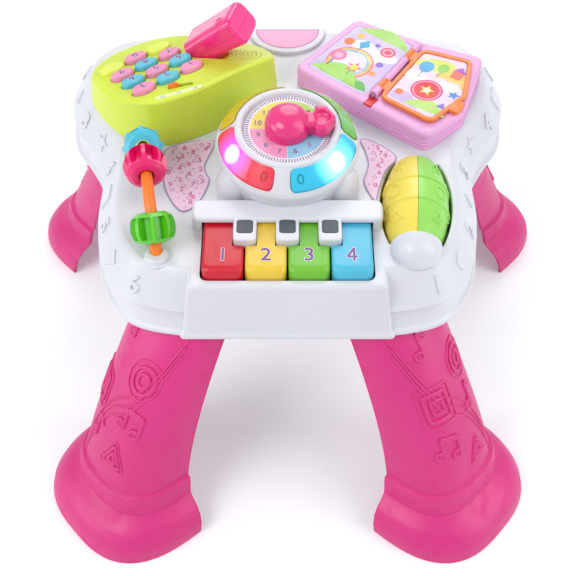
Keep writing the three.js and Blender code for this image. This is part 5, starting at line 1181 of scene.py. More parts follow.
def leg_relief(side, hip_lean, where, finish, layout):
    """Raised notes, figures and wavy lines on the outside of a leg."""
    def on_leg(u, z):
        section = leg_section(z, side, hip_lean)
        arc = leg_arc(section, BAND_PROUD, 120)
        lengths = [0.0]
        for a, b in zip(arc, arc[1:]):
            lengths.append(lengths[-1] + math.dist(a, b))
        target = lengths[-1] / 2 + u
        k = max(1, min(len(arc) - 1, next((i for i, v in enumerate(lengths) if v >= target), len(arc) - 1)))
        w = (target - lengths[k - 1]) / (lengths[k] - lengths[k - 1])
        return (lerp(arc[k - 1][0], arc[k][0], w), lerp(arc[k - 1][1], arc[k][1], w), z)

    def closed_path(points, u, z):
        steps = []
        for (ax, ay), (bx, by) in zip(points, points[1:] + points[:1]):
            cuts = max(1, int(math.dist((ax, ay), (bx, by)) / 2.5))
            steps += [on_leg(u + lerp(ax, bx, k / cuts), z + lerp(ay, by, k / cuts)) for k in range(cuts)]
        return steps

    def note(u, z, size_of):
        rings.append((closed_path(oval(size_of * 1.3, size_of, 16), u, z), 1.0))
        fills.append((closed_path(oval(size_of * 0.5, size_of * 0.35, 10), u, z), 1.0))
        return (u + size_of * 0.62, z)

    width = sizes().relief / UNIT
    rings, fills, lines, waves = [], [], [], []

    def stem(x, y, tip):
        lines.append([on_leg(x, lerp(y, tip, k / 8)) for k in range(9)])

    for kind, u, z, radius in layout:
        if kind == "note":
            x, y = note(u, z, radius)
            tip = y + radius * 2.6
            flag = [(x + radius * 1.1 * k / 5, tip - radius * 0.9 * (k / 5) ** 1.6) for k in range(6)]
            stem(x, y, tip)
            lines.append([on_leg(*p) for p in flag])
        elif kind == "pair":
            stems = [note(u - radius * 1.2, z, radius), note(u + radius * 1.2, z - radius * 0.5, radius)]
            for x, y in stems:
                stem(x, y, y + radius * 2.3)
            (x0, y0), (x1, y1) = stems
            for drop in (0.0, 0.35):
                lines.append([on_leg(lerp(x0, x1, k / 8), lerp(y0, y1, k / 8) + radius * (2.3 - drop))
                              for k in range(9)])
        else:
            for share in (1.45, 1.0, 0.5):
                outline = [(x * share, y * share) for x, y in shape_outline(kind, radius)]
                (rings if share < 1.4 else fills).append((closed_path(outline, u, z), share))
    for row in (-1, 0, 1):
        waves.append([on_leg(lerp(*WAVE_REACH, k / 40) * side,
                             lerp(*WAVE_HEIGHTS, k / 40) + row * WAVE_SPACING
                             + WAVE_SWING * math.sin(k / 40 * math.tau)) for k in range(41)])
    parts = [bars([path for path, _ in rings], width, 12, finish, where, True),
             bars([path for path, _ in fills], width * 0.6, 10, finish, where, True),
             bars(lines, width, 12, finish, where), bars(waves, width * 0.6, 8, finish, where)]
    return gather(parts)


LEFT_LEG_FIGURES = [("note", -16, 162, 6), ("circle", 13, 141, 10), ("square", -30, 112, 9),
                    ("pair", 14, 104, 6), ("note", -20, 80, 6), ("triangle", 9, 74, 11)]
RIGHT_LEG_FIGURES = [("note", -14, 160, 6), ("circle", 20, 139, 9), ("square", -16, 122, 10),
                     ("note", 14, 105, 6), ("pair", -20, 84, 6), ("triangle", 10, 70, 9)]
LEG_FIGURES = [LEFT_LEG_FIGURES, RIGHT_LEG_FIGURES]


def legs():
    finish = plastic("leg_pink_plastic", tuple(colours().leg), 0.4, 0.2, 0.04)
    for i, (name, (x, y, degrees, side, hip_lean)) in enumerate(LEG_PLACES.items()):
        where = shift(x, y) @ turn("Z", degrees)
        moulded(leg_solid(side, hip_lean, where), name, name, finish, 38.0)
        settle(leg_relief(side, hip_lean, where, finish, LEG_FIGURES[i % 2]), f"{name}_relief", name, name,
               finish, 60.0)


# Piano

KEY_PAINTS = ["C8102A", "E4C23C", "6CB82C", "4CB8D8"]


def piano_key(index):
    x0 = index * KEY_PITCH - KEYS_HALF + KEY_GAP / 2
    x1 = x0 + KEY_PITCH - KEY_GAP

    def ring(z, inset, lean):
        return ring_at(rounded(rectangle(x0, x1, KEY_FRONT_Y - KEY_LEAN * lean, KEY_REAR_Y), KEY_CORNER), z,
                       inset)

    bend = KEY_TOP - KEY_DROP * 0.6
    brow = [(bend, 0, 1), (KEY_TOP - KEY_ROUND / 2, 0.05, 0.6), (KEY_TOP - KEY_ROUND / 6, 0.6, 0.28),
            (KEY_TOP, 2, 0)]
    block = loft([ring(KEY_TOP - KEY_DROP, 0, 1)] + [ring(*p) for p in spline(brow, 12, False)])
    reach = BRIDGE_WIDTH / 2 + RUNNING_GAP
    notches = [box(x - reach, x + reach, BRIDGE_FRONT - RUNNING_GAP * 2, SHELF_FRONT + RUNNING_GAP * 2,
                   KEY_TOP - BRIDGE_DROP - RUNNING_GAP * 2, KEY_TOP + OVERRUN) for x in BRIDGES]
    return bevelled(cut(block, *notches, key_rod_bore()), sizes().edge / UNIT, 2, 50.0)


def piano():
    numeral = sizes().key_numeral / UNIT
    rise = sizes().print_rise / UNIT
    ink = printed("numeral_ink", 0.3)
    for i, code in enumerate(KEY_PAINTS):
        body = f"key_{i + 1}"
        finish = plastic(f"key_plastic_{i + 1}", paint(code), 0.34, 0.04, 0.03, 0.06)
        moulded(piano_key(i), f"piano_key_{i + 1}", body, finish, 40.0)
        where = shift((i + 0.5) * KEY_PITCH - KEYS_HALF, (KEY_FRONT_Y + BRIDGE_FRONT) / 2 + 1.5,
                      KEY_TOP - KEY_NUMERAL_SINK)
        numerals = outlined_numeral(str(i + 1), numeral, KEY_NUMERAL_SINK, (rise, rise * 2), (0.42, 0.1),
                                    where)
        settle(gather(numerals), f"key_numeral_{i + 1}", f"piano_key_{i + 1}", body, ink)
    dark = plastic("dark_strip_plastic", tuple(colours().dark), 0.4, 0.15)
    for i, x in enumerate(BRIDGES):
        outline = rounded(rectangle(x - STRIP_WIDTH / 2, x + STRIP_WIDTH / 2, SHELF_FRONT - STRIP_LENGTH,
                                    SHELF_FRONT - SEAT_GAP), STRIP_CORNER)
        strip = soft_prism(outline, SHELF_TOP - STRIP_PROUD - STRIP_DEPTH + SEAT_GAP, SHELF_TOP, 0.4)
        moulded(strip, f"key_strip_{i + 1}", "table", dark)


# Bead track

def bead_solid(where):
    half = BEAD_LENGTH / 2
    profile = [(BEAD_BORE, -half), (BEAD_END - 0.8, -half), (BEAD_END, -half + 0.5)]
    swell = [(half * 0.3, BEAD_RADIUS), (half * 0.7, BEAD_SHOULDER), (half - 0.5, BEAD_END)]
    swell = [(-x, y) for x, y in reversed(swell)] + swell
    profile += [(y, x) for x, y in spline(swell, 30, False)[1:-1]]
    profile += [(BEAD_END, half - 0.5), (BEAD_END - 0.8, half), (BEAD_BORE, half), (BEAD_BORE, -half)]
    spin = where @ turn("X", -90)
    barrel = lathe(profile, spin, 96)
    depth = BEAD_LENGTH - BEAD_RING * 2

    def pocket_corner(r, side):
        a = side * (math.pi / BEAD_RIBS - BEAD_RIB_WIDTH / 2 / r)
        return (r * math.cos(a), r * math.sin(a))

    far = BEAD_RADIUS * 1.3
    corners = [pocket_corner(r, side) for r, side in ((BEAD_CORE, -1), (far, -1), (far, 1), (BEAD_CORE, 1))]
    pocket = prism(rounded(corners, 1.2, 4), -depth / 2, depth / 2)
    pockets = grown(pocket, "arc", None, Count=BEAD_RIBS, Radius=0.0, Start=math.pi / BEAD_RIBS,
                    Sweep=math.tau)
    pockets.data.transform(spin)
    return cut(barrel, pockets)


def bead_track():
    rod_finish = plastic("rod_orange_plastic", tuple(colours().orange), 0.3, 0.08)
    moulded(bars([track_arc()], ROD_RADIUS, 40, rod_finish, TRACK), "bead_rod", "table", rod_finish)
    for name, code in (("cyan", "46BED7"), ("magenta", "E6146E"), ("green", "5AC81E")):
        where = TRACK @ shift(0, 0, TRACK_CENTRE) @ turn("X", BEAD_ANGLES[name]) @ shift(0, 0, TRACK_RADIUS)
        finish = plastic(f"bead_{name}_plastic", paint(code), 0.25, 0.06, 0.04, 0.2)
        moulded(bead_solid(where), f"bead_{name}", f"bead_{name}", finish, 34.0)


# Roller

def roller_half(side):
    half = ROLLER_LENGTH / 2
    ridges = [s * RIDGE_SPACING / 2 + RIDGE_WIDTH * (k / 8 - 0.5) for s in (-1, 1) for k in range(9)]
    stations = sorted([half * math.sin(math.pi / 2 * k / 14) for k in range(-14, 15)] + ridges)

    def lift(y):
        away = abs(abs(y) - RIDGE_SPACING / 2) / (RIDGE_WIDTH / 2)
        return RIDGE_HEIGHT * math.sqrt(max(0.0, 1 - away ** 2)) if away < 1 else 0.0

    bore = AXLE_RADIUS + SEAT_GAP
    outer = [(bore, -half), (ROLLER_END - 1.0, -half)]
    outer += [(roller_swell(y) + lift(y), y) for y in stations if abs(y) < half - 0.3]
    outer += [(ROLLER_END - 1.0, half), (bore, half)]
    end = half - ROLLER_WALL
    hollow = (end, half * 0.7, half * 0.35, 0, -half * 0.35, -half * 0.7, -end)
    inner = [(bore, end), *[(roller_swell(y) - ROLLER_WALL, y) for y in hollow], (bore, -end), (bore, -half)]
    shell = lathe(outer + inner, ROLLER @ turn("X", -90), 96)
    far = ROLLER_CLEAR
    x0, x1 = (SEAT_GAP / 2, far) if side > 0 else (-far, -SEAT_GAP / 2)
    return meet(shell, box(x0, x1, -far, far, -far, far, ROLLER))


def roller_relief(side, finish):
    """Raised plain figures on one half of the roller."""
    def on_roller(u, y):
        radius = roller_swell(y) + ROLLER_FIGURE_LIFT
        a = math.radians(90) - u / ROLLER_RADIUS
        return (radius * math.cos(a), y, radius * math.sin(a))

    rings = []
    for kind, u, y, size_of in ROLLER_FIGURES:
        outline = shape_outline(kind, size_of)
        rings.append([on_roller(side * (u + a), y + b) for a, b in outline])
    return bars(rings, ROLLER_FIGURE_WIDTH, 8, finish, ROLLER, True)


def roller():
    for name, side, code in (("yellow", -1, "F0DC5A"), ("green", 1, "96DA5E")):
        finish = plastic(f"roller_{name}_plastic", paint(code), 0.3, 0.08, 0.04)
        node = f"roller_{name}_half"
        moulded(roller_half(side), node, "roller", finish, 30.0)
        settle(roller_relief(side, finish), f"roller_{name}_relief", node, "roller", finish, 60.0)


# Dial

def light_start(index):
    return LIGHT_FIRST + index * 90 + (LIGHT_FRONT_GAP if index % 2 else 0)


def light_ring(index, grow, drop, where):
    """Stretch of a conical ring with rounded ends: a light button, or the pocket for one."""
    inner, outer = LIGHT_INNER - grow, LIGHT_OUTER + grow
    sink = LIGHT_FALL - LIGHT_DEPTH / 2 / (LIGHT_OUTER - LIGHT_INNER)
    slack = math.degrees(grow / LIGHT_INNER)
    start, sweep = light_start(index) - slack, LIGHT_SWEEP + slack * 2
    length = math.radians(sweep) * LIGHT_MIDDLE
    ends = [LIGHT_ROUND * (1 - math.cos(math.pi / 2 * k / 6)) for k in range(6)]
    stations = ends + [lerp(LIGHT_ROUND, length - LIGHT_ROUND, k / 30) for k in range(31)]
    stations += [length - d for d in reversed(ends)]
    rings = []
    for d in stations:
        near = LIGHT_ROUND - min(d, length - d, LIGHT_ROUND)
        trim = LIGHT_ROUND - math.sqrt(LIGHT_ROUND ** 2 - near ** 2)
        a = math.radians(start + sweep * d / length)
        r0, r1 = inner + trim, outer - trim
        tops = [-LIGHT_INNER_DROP - LIGHT_FALL * (r - LIGHT_INNER) + LIGHT_PROUD + grow for r in (r0, r1)]
        feet = [-LIGHT_INNER_DROP - LIGHT_DEPTH - sink * (r - LIGHT_INNER) - drop for r in (r0, r1)]
        section = [(r0, feet[0]), (r1, feet[1]), (r1, tops[1]), (r0, tops[0])]
        rings.append([(r * math.cos(a), r * math.sin(a), z) for r, z in reversed(section)])
    return loft(rings, where)


def dial_pod():
    profile = [(0, -DIAL_Z), (POD_FOOT, -DIAL_Z), (POD_FOOT, -POD_RISE)]
    shoulder = [(POD_FOOT, -POD_RISE), (POD_FOOT + 1.2, -POD_SHOULDER_DEPTH * 1.5),
                (POD_SHOULDER - 1.0, -POD_SHOULDER_DEPTH), (LIGHT_OUTER + 0.8, -LIGHT_OUTER_DROP - 1.2)]
    profile += spline(shoulder, 16, False)[1:]
    profile += [(POD_RING + POD_EDGE / 2, -LIGHT_INNER_DROP)]
    middle, half = (POD_RING + POD_RING_INNER) / 2, (POD_RING - POD_RING_INNER) / 2
    profile += [(middle + half * math.cos(a), -RING_DROP + RING_DROP * math.sin(a))
                for a in (math.pi * k / 8 for k in range(9))]
    inner = POD_RING_INNER - POD_EDGE / 4
    profile += [(inner, -DISC_DEPTH), (inner, DISC_FLOOR), (0, DISC_FLOOR)]
    pod = lathe(profile, DIAL, 144)
    cheek = [(r * CHEEK_RADIUS, z * CHEEK_HEIGHT) for r, z in ball_profile(16)]
    cheeks = [lathe(cheek, DIAL @ shift(side * CHEEK_PLACE[0], *CHEEK_PLACE[1:]), 64) for side in (-1, 1)]
    wide = REAR_HALF_WIDTH
    tools = [box(-wide, wide, -wide, wide, -OVERRUN - 100, PLAY_HEIGHT + SEAT_GAP),
             box(-SHELF_HALF, SHELF_HALF, -wide, SHELF_REAR + SEAT_GAP, 0, SHELF_TOP + SEAT_GAP),
             disc(POD_BASE - POD_WALL, 0, DIAL_Y, 0, DIAL_Z - POD_HOLLOW_DEPTH),
             disc(SHAFT_RADIUS + RUNNING_GAP, 0, 0, DISC_FLOOR - SHAFT_LENGTH, OVERRUN, DIAL)]
    tools += [light_ring(i, RUNNING_GAP, LIGHT_TRAVEL + RUNNING_GAP, DIAL) for i in range(4)]
    moulded(cut(join(pod, *cheeks), *tools), "dial_pod", "table", white_shell(), 30.0)


def sector(r0, r1, start, sweep, steps):
    angles = [math.radians(start + sweep * i / steps) for i in range(steps + 1)]
    outer = [(r1 * math.cos(a), r1 * math.sin(a)) for a in angles]
    inner = [(r0 * math.cos(a), r0 * math.sin(a)) for a in reversed(angles)]
    return outer + inner


def dial_disc():
    """Printed disc: four coloured quarters, plain numbers and a ring of ticks."""
    rim = POD_RING_INNER - POD_EDGE / 4 - RUNNING_GAP
    base = DISC_FLOOR + SEAT_GAP
    top = base + DISC_THICK - PRINT_ROOM
    rise = sizes().print_rise / UNIT
    plate = disc(rim, 0, 0, base, top, DIAL, 128)
    plate = cut(plate, disc(SHAFT_RADIUS + RUNNING_GAP, 0, 0, base - 2, top + 2, DIAL))
    parts = [inked(plate, paint("F4EFF6"))]
    numeral = sizes().dial_numeral / UNIT
    for code, start in (("B4D868", 0), ("F0DC62", 90), ("F29CC4", 180), ("94CDEC", 270)):
        field = sector(*QUARTER_SPAN, start + QUARTER_GAP, 88.8, 24)
        field = prism(field, top - PRINT_SINK, top + rise, DIAL)
        parts.append(inked(field, paint(code)))
    for i in range(12):
        a = math.radians(75 - 30 * i)
        where = DIAL @ shift(NUMERAL_RING * math.cos(a), NUMERAL_RING * math.sin(a), top - PRINT_SINK)
        parts += outlined_numeral(str(i + 1), numeral, PRINT_SINK, (rise * 3, rise * 4), (0.2, 0.05), where)
    settle(gather(parts), "dial_disc_printed", "dial_disc", "table", printed("dial_print"), 32.0,
           ["dial_disc"])
    tick = prism(TICK_SHAPE, top - PRINT_SINK, top + rise * 2)
    ticks = grown(tick, "arc", None, Count=TICK_COUNT, Radius=TICK_RING, Start=0.0, Sweep=math.tau)
    ticks.data.transform(DIAL)
    settle(inked(ticks, paint("7F78A0")), "dial_ticks", "dial_disc", "table", printed("dial_print"))


def dial_knob():
    base = DISC_FLOOR + DISC_THICK + SEAT_GAP * 2
    dome = lathe([(0, base), (KNOB_RADIUS, base)] + [
        (KNOB_RADIUS * math.cos(math.pi / 2 * k / 14) ** KNOB_CURVE if k < 14 else 0,
         lerp(KNOB_HEIGHT * 0.1, KNOB_HEIGHT, math.sin(math.pi / 2 * k / 14))) for k in range(15)], DIAL)
    neck = rounded(rectangle(0, HEAD_X, -NECK_WIDTH / 2, NECK_WIDTH / 2), KNOB_EASE)
    neck = soft_prism(neck, base, NECK_HEIGHT, NECK_ROUND, DIAL)
    back = HEAD_X - HEAD_RADIUS * 0.5
    outline = rounded([(back, -HEAD_RADIUS), (HEAD_X + KNOB_EASE, -HEAD_RADIUS), (TIP_X, 0),
                       (HEAD_X + KNOB_EASE, HEAD_RADIUS), (back, HEAD_RADIUS)], KNOB_EASE)
    head = soft_prism(outline, RUNNING_GAP, HEAD_HEIGHT, HEAD_ROUND, DIAL)
    shaft = disc(SHAFT_RADIUS, 0, 0, DISC_FLOOR - SHAFT_LENGTH + RUNNING_GAP, base + KNOB_EASE, DIAL)
    bottom = HEAD_HEIGHT - DIMPLE_DEPTH
    dimple = lathe([(0, bottom), (DIMPLE_RADIUS * 0.6, bottom + 0.2), (DIMPLE_RADIUS * 0.9, bottom + 1.2),
                    (DIMPLE_RADIUS, HEAD_HEIGHT - 0.8), (DIMPLE_RADIUS + 0.8, HEAD_HEIGHT + 0.1),
                    (DIMPLE_RADIUS + 0.8, HEAD_HEIGHT + 3), (0, HEAD_HEIGHT + 3)], DIAL @ shift(HEAD_X, 0),
                   48)
    body = softened(cut(join(dome, neck, head, shaft), dimple), KNOB_SOFTENING, 7)
    finish = plastic("knob_magenta_plastic", tuple(colours().knob), 0.22, 0.05, 0.04, 0.3)
    moulded(body, "dial_knob", "pointer_knob", finish, 60.0)


LIGHTS = [("red", "F0284A", "FF46C8"), ("cyan", "1EC8EB", "78EEFF"), ("green", "6ECD3C", None),
          ("yellow", "F5D23C", None)]


def light_plastic(name, colour, spot, halo):
    """Tinted clear plastic over a small lamp, which shows as a pale glow round its place."""
    made = Finish(name, 0.18)
    made.give(Transmission_Weight=0.25, Coat_Weight=0.5)
    flow = made.spread(made.noise(40.0, 3.0), 0.3, 0.7, 0.0, 1.0)
    base = made.mix(flow, tuple(c * 0.9 for c in colour), colour)
    if spot:
        away = made.nodes.new("ShaderNodeVectorMath")
        away.operation = "DISTANCE"
        made.links.new(made.spot, away.inputs[0])
        away.inputs[1].default_value = spot
        near = made.spread(away.outputs["Value"], *GLOW_FADE, 1.0, 0.0)
        base = made.mix(made.spread(near, 0.0, 0.6, 0.0, 1.0), base, halo)
        base = made.mix(made.spread(near, 0.7, 1.0, 0.0, 1.0), base, (1.0, 1.0, 1.0))
        made.links.new(base, made.shader.inputs["Emission Color"])
        made.links.new(made.spread(near, 0.0, 1.0, 0.12, 1.25), made.shader.inputs["Emission Strength"])
    made.colour(base)
    made.rough(made.spread(made.noise(90.0, 5.0), 0.5, 0.7, 0.15, 0.3))
    made.bump(made.noise(500.0, 2.0), 0.04, 0.0001)
    return made.material


def light_mark(index, name, code):
    """Ring printed at the front end of a lit button."""
    away = math.degrees(LIGHT_ROUND * 2 / LIGHT_MIDDLE)
    angle = light_start(index) + (LIGHT_SWEEP - away if name == "red" else away)
    top = -LIGHT_INNER_DROP - LIGHT_FALL * (LIGHT_MIDDLE - LIGHT_INNER) + LIGHT_PROUD
    slope = math.degrees(math.atan(LIGHT_FALL))
    where = DIAL @ turn("Z", angle) @ shift(LIGHT_MIDDLE, 0, top) @ turn("Y", slope)
    wide, tall = LIGHT_MARK
    ring = cut(prism(oval(tall * 2, wide * 2, 32), -0.4, 0.12, where),
               prism(oval(tall * 2 - 2.2, wide * 2 - 2.2, 32), -1.0, 1.0, where))
    dark = tuple(c * 0.45 for c in paint(code))
    settle(inked(ring, dark), f"light_mark_{name}", f"light_button_{name}", f"light_{name}",
           printed("light_mark_ink"))


def light_buttons():
    for i, (name, code, halo) in enumerate(LIGHTS):
        body = bevelled(light_ring(i, 0.0, 0.0, STILL), sizes().edge / UNIT * 1.2)
        body.data.transform(DIAL)
        a = math.radians(light_start(i) + LIGHT_SWEEP * (0.38 if name == "red" else 0.62))
        spot = TABLE @ DIAL @ Vector((46 * math.cos(a), 46 * math.sin(a), -7.0)) if halo else None
        finish = light_plastic(f"light_{name}_plastic", paint(code), spot, paint(halo) if halo else None)
        moulded(body, f"light_button_{name}", f"light_{name}", finish, 40.0)
        if halo:
            light_mark(i, name, code)


def dial():
    dial_pod()
    dial_disc()
    dial_knob()
    light_buttons()


# Phone console

def console_ring(outline, inset, drop, scale=1.0):
    made = []
    for x, y, _ in ring_at(outline, 0, inset):
        x, y = x * scale, y * scale
        past = max(0.0, (x - CONSOLE_END_START) / (CONSOLE_RIGHT - CONSOLE_END_START))
        top = CONSOLE_HEIGHT - CONSOLE_SLOPE * (y + CONSOLE_FRONT) - CONSOLE_END_DROP * past ** 2
        made.append((x, y, top - drop))
    return made


def console_skin(outline, shrink, edge, base):
    rings = [ring_at(outline, base, shrink)]
    steps = 6 if edge else 0
    for k in range(steps + 1):
        a = math.pi / 2 * (k / steps if steps else 1)
        rings.append(console_ring(outline, CONSOLE_DRAFT + shrink + edge * (1 - math.cos(a)),
                                  shrink + edge * (1 - math.sin(a))))
    inset = CONSOLE_DRAFT + edge + shrink
    rings += [console_ring(outline, inset, shrink, share) for share in CONSOLE_CROWN]
    return loft(rings, CONSOLE)


def keypad_place(column, row):
    return (BUTTON_FIRST[0] - column * BUTTON_PITCH[0], BUTTON_FIRST[1] + row * BUTTON_PITCH[1])


def button_loft(levels, x, y, where=KEYPAD):
    return loft([ring_at(oval(BUTTON_SIZE[0] + g * 2, BUTTON_SIZE[1] + g * 2), z) for z, g in levels],
                where @ shift(x, y))


BUTTONS = [(0, keypad_place(1, 3))] + [(i + 1, keypad_place(i % 3, i // 3)) for i in range(9)]
DUMMIES = [keypad_place(0, 3), keypad_place(2, 3)]


def sleeve(grow):
    wide, thick = HANDSET_WIDTH / 2 + grow, HANDSET_THICK / 2 + grow
    return box(-thick, thick, -wide, wide, -HANDSET_SUNK - grow, HANDSET_SUNK * 2, HANDSET)


def grille_cutters():
    """Sound holes: closed rings at the loudspeaker's middle, then arcs on its front side."""
    hole = sizes().grille_dot / UNIT
    parts = [disc(hole, 0, 0, -SPEAKER_DROP, OVERRUN, STILL, 12)]
    for radius, start, sweep in GRILLE_ARCS:
        dot = disc(hole, 0, 0, -SPEAKER_DROP + SEAT_GAP, OVERRUN, STILL, 12)
        count = round(radius * math.radians(sweep) / GRILLE_PITCH)
        parts.append(grown(dot, "arc", None, Count=count, Radius=radius, Start=math.radians(start),
                           Sweep=math.radians(sweep)))
    made = gather(parts)
    made.data.transform(KEYPAD @ shift(*GRILLE_PLACE))
    return made


def slot_outline(grow):
    half = (SLIDER_LENGTH + SLIDER_TRAVEL) / 2 + RUNNING_GAP + grow
    wide = SLOT_WIDTH / 2 + grow
    return rounded(rectangle(-half, half, -wide, wide), SLOT_WIDTH / 4)


def phone_console():
    corners = [(x * (CONSOLE_LEFT if x < 0 else CONSOLE_RIGHT),
                y * (CONSOLE_FRONT if y < 0 else CONSOLE_REAR)) for x, y in CONSOLE_SHARES]
    outline = spline(corners, 130, True)
    skin = console_skin(outline, 0, CONSOLE_ROUND, 0)
    domes = [button_loft(DOME_PROFILE, *place) for place in DUMMIES]
    slide = KEYPAD @ shift(*SLOT_PLACE) @ turn("Z", SLOT_TURN)
    surround = soft_prism(slot_outline(SURROUND_WIDTH), -1.0, SURROUND_RISE, SURROUND_ROUND, slide, 2)
    field = rounded(rectangle(*FIELD_SPAN), FIELD_ROUND)
    field = soft_prism(field, -1.0, FIELD_RISE, FIELD_RISE * 0.9, KEYPAD)
    whole = join(skin, surround, field)
    whole = cut(whole, console_skin(outline, CONSOLE_WALL, 0, -OVERRUN))
    walls = meet(sleeve(POCKET_GAP + POCKET_WALL), console_skin(outline, 0.2, 0, 0.2))
    whole = join(whole, walls)
    hole = [(-CONSOLE_WALL - OVERRUN, RUNNING_GAP), (-0.6, RUNNING_GAP), (0.02, RUNNING_GAP + 0.5),
            (OVERRUN, RUNNING_GAP + 0.5)]
    holes = [button_loft(hole, *place) for _, place in BUTTONS]
    slot = prism(slot_outline(0), -CONSOLE_WALL - OVERRUN, OVERRUN, slide)
    whole = cut(whole, *holes, slot, sleeve(POCKET_GAP), grille_cutters())
    moulded(whole, "phone_console", "table",
            plastic("lime_console_plastic", tuple(colours().lime), 0.36, 0.12, 0.04),
            30.0)
    settle(gather(domes), "blank_buttons", "phone_console", "table",
           plastic("blank_button_plastic", paint("E4F25C"), 0.3, 0.08))
    place = slide @ shift(*LABEL_PLACE) @ turn("Z", LABEL_TURN)
    rise = sizes().print_rise / UNIT
    length, width = LABEL_SIZE
    plate = rounded(rectangle(-length / 2, length / 2, -width / 2, width / 2), width * 0.45, 6)
    label = [inked(prism(plate, -0.6, rise, place), paint("EAF3B4"))]
    for x in LABEL_MARKS:
        for size_of, count, lift, code in LABEL_OVALS:
            mark = prism(oval(*size_of, count), -0.5, rise * lift, place @ shift(x, 0))
            label.append(inked(mark, paint(code)))
    settle(gather(label), "slider_label", "phone_console", "table", printed("slider_label_print"))


def number_buttons():
    numeral = sizes().button_numeral / UNIT
    rise = sizes().print_rise / UNIT
    ledge = -CONSOLE_WALL - SEAT_GAP
    finishes = [plastic("button_cyan_plastic", paint("5AC3DC"), 0.42, 0.15),
                plastic("button_pink_plastic", paint("F096BE"), 0.42, 0.15)]
    for digit, (x, y) in BUTTONS:
        crown = [(CROWN_START, 0)]
        crown += [(CROWN_START + CROWN_RISE * math.sin(a), -CROWN_ROUND * (1 - math.cos(a)))
                  for a in (math.pi / 2 * k / 6 for k in range(1, 7))]
        button = button_loft([(ledge - BUTTON_FLANGE_THICK, BUTTON_FLANGE), (ledge, BUTTON_FLANGE),
                              (ledge + 0.01, 0)] + crown, x, y)
        node, body = f"number_button_{digit}", f"number_{digit}"
        moulded(button, node, body, finishes[digit % 2 or digit == 0], 38.0)
        where = KEYPAD @ shift(x, y, BUTTON_PROUD - BUTTON_NUMERAL_SINK) @ turn("Z", 180)
        parts = outlined_numeral(str(digit), numeral, BUTTON_NUMERAL_SINK, (rise, rise * 2), (0.26, 0.08),
                                 where)
        settle(gather(parts), f"button_numeral_{digit}", node, body, printed("numeral_ink"))


def volume_slider():
    ledge = -CONSOLE_WALL - SEAT_GAP
    where = KEYPAD @ shift(*SLOT_PLACE) @ turn("Z", SLOT_TURN) @ shift(-SLIDER_TRAVEL / 2, 0)
    reach = SLIDER_LENGTH / 2 + SLIDER_FOOT_REACH
    foot = rectangle(-reach, reach, -SLIDER_FOOT_WIDTH / 2, SLIDER_FOOT_WIDTH / 2)
    foot = prism(rounded(foot, SLIDER_FOOT_REACH), ledge - 1.6, ledge, where)
    stem = soft_prism(oval(SLIDER_LENGTH, SLOT_WIDTH - RUNNING_GAP * 2), ledge - 0.8, SLIDER_PROUD, 1.0,
                      where)
    grips = [box(x - GRIP_HALF, x + GRIP_HALF, -4, 4, SLIDER_PROUD - GRIP_HALF * 2, SLIDER_PROUD + 1, where)
             for x in (-GRIP_PITCH, 0, GRIP_PITCH)]
    moulded(cut(join(foot, stem), *grips), "volume_slider", "slider",
            plastic("slider_orange_plastic", tuple(colours().orange), 0.3, 0.08))


def phone():
    phone_console()
    number_buttons()
    volume_slider()


# Handset

def handset_ring(along, grow):
    middle = (HANDSET_REACH - HANDSET_SUNK) / 2
    away = min(1.0, abs(along - middle) / (HANDSET_REACH - middle))
    waist = HANDSET_WAIST * (1 - away ** 2)
    half = HANDSET_WIDTH / 2 - waist * 0.4 + grow
    corners = rectangle(-HANDSET_THICK / 2 - grow, HANDSET_THICK / 2 - waist + grow, -half, half)
    return ring_at(rounded(corners, HANDSET_EASE, 8), along)


def handset_skin(grow):
    ends = HANDSET_EASE * 0.8
    rings = []
    for away, fall in quarter(5):
        rings.append(handset_ring(-HANDSET_SUNK - grow + ends * fall, grow - ends / 2 * fall ** 2))
    rings += [handset_ring(lerp(-HANDSET_SUNK + ends, HANDSET_REACH - ends, k / 16), grow)
              for k in range(1, 16)]
    for away, fall in quarter(5):
        rings.append(handset_ring(HANDSET_REACH + grow - ends * fall, grow - ends / 2 * away))
    return loft(rings, HANDSET)


def handset():
    # The handset's finish has a painted glow, and is painted redder toward its foot as if the console showed
    # through.
    finish = tinted_plastic("handset_plastic_painted_glow", tuple(colours().handset), paint("D8304A"))
    far = HANDSET_CLEAR
    for name, x0, x1 in (("handset_front", -far, -SEAT_GAP / 2), ("handset_back", SEAT_GAP / 2, far)):
        shell = cut(handset_skin(0), handset_skin(-HANDSET_WALL))
        half = meet(shell, box(x0, x1, -far, far, -far, far, HANDSET))
        moulded(half, name, "handset", finish, 34.0, False)
    # Screw bosses inside the handset
    bosses = [lathe(BOSS_PROFILE, HANDSET @ shift(-0.5, 0, z) @ turn("Y", 90), 28) for z in BOSS_HEIGHTS]
    settle(gather(bosses), "handset_bosses", "handset_back", "handset", finish)
    ring = lathe(RING_PROFILE, HANDSET @ shift(-HANDSET_THICK / 2, *RING_PLACE) @ turn("Y", -90), 40)
    settle(ring, "handset_ring", "handset_front", "handset", finish)


# Book

def along_spine(radius, y, length, where=SPINE):
    return tube([(0, y - length / 2, PIN_RISE), (0, y + length / 2, PIN_RISE)], radius, 32, where)


LUGS = [-SPINE_LENGTH / 2 + KNUCKLE_LENGTH / 2, SPINE_LENGTH / 2 - KNUCKLE_LENGTH / 2]
KNUCKLES = [y - math.copysign(KNUCKLE_LENGTH + RUNNING_GAP, y) for y in LUGS]


def book_points(shares):
    return [(x * BOOK_HALF[0], y * BOOK_HALF[1]) for x, y in shares]


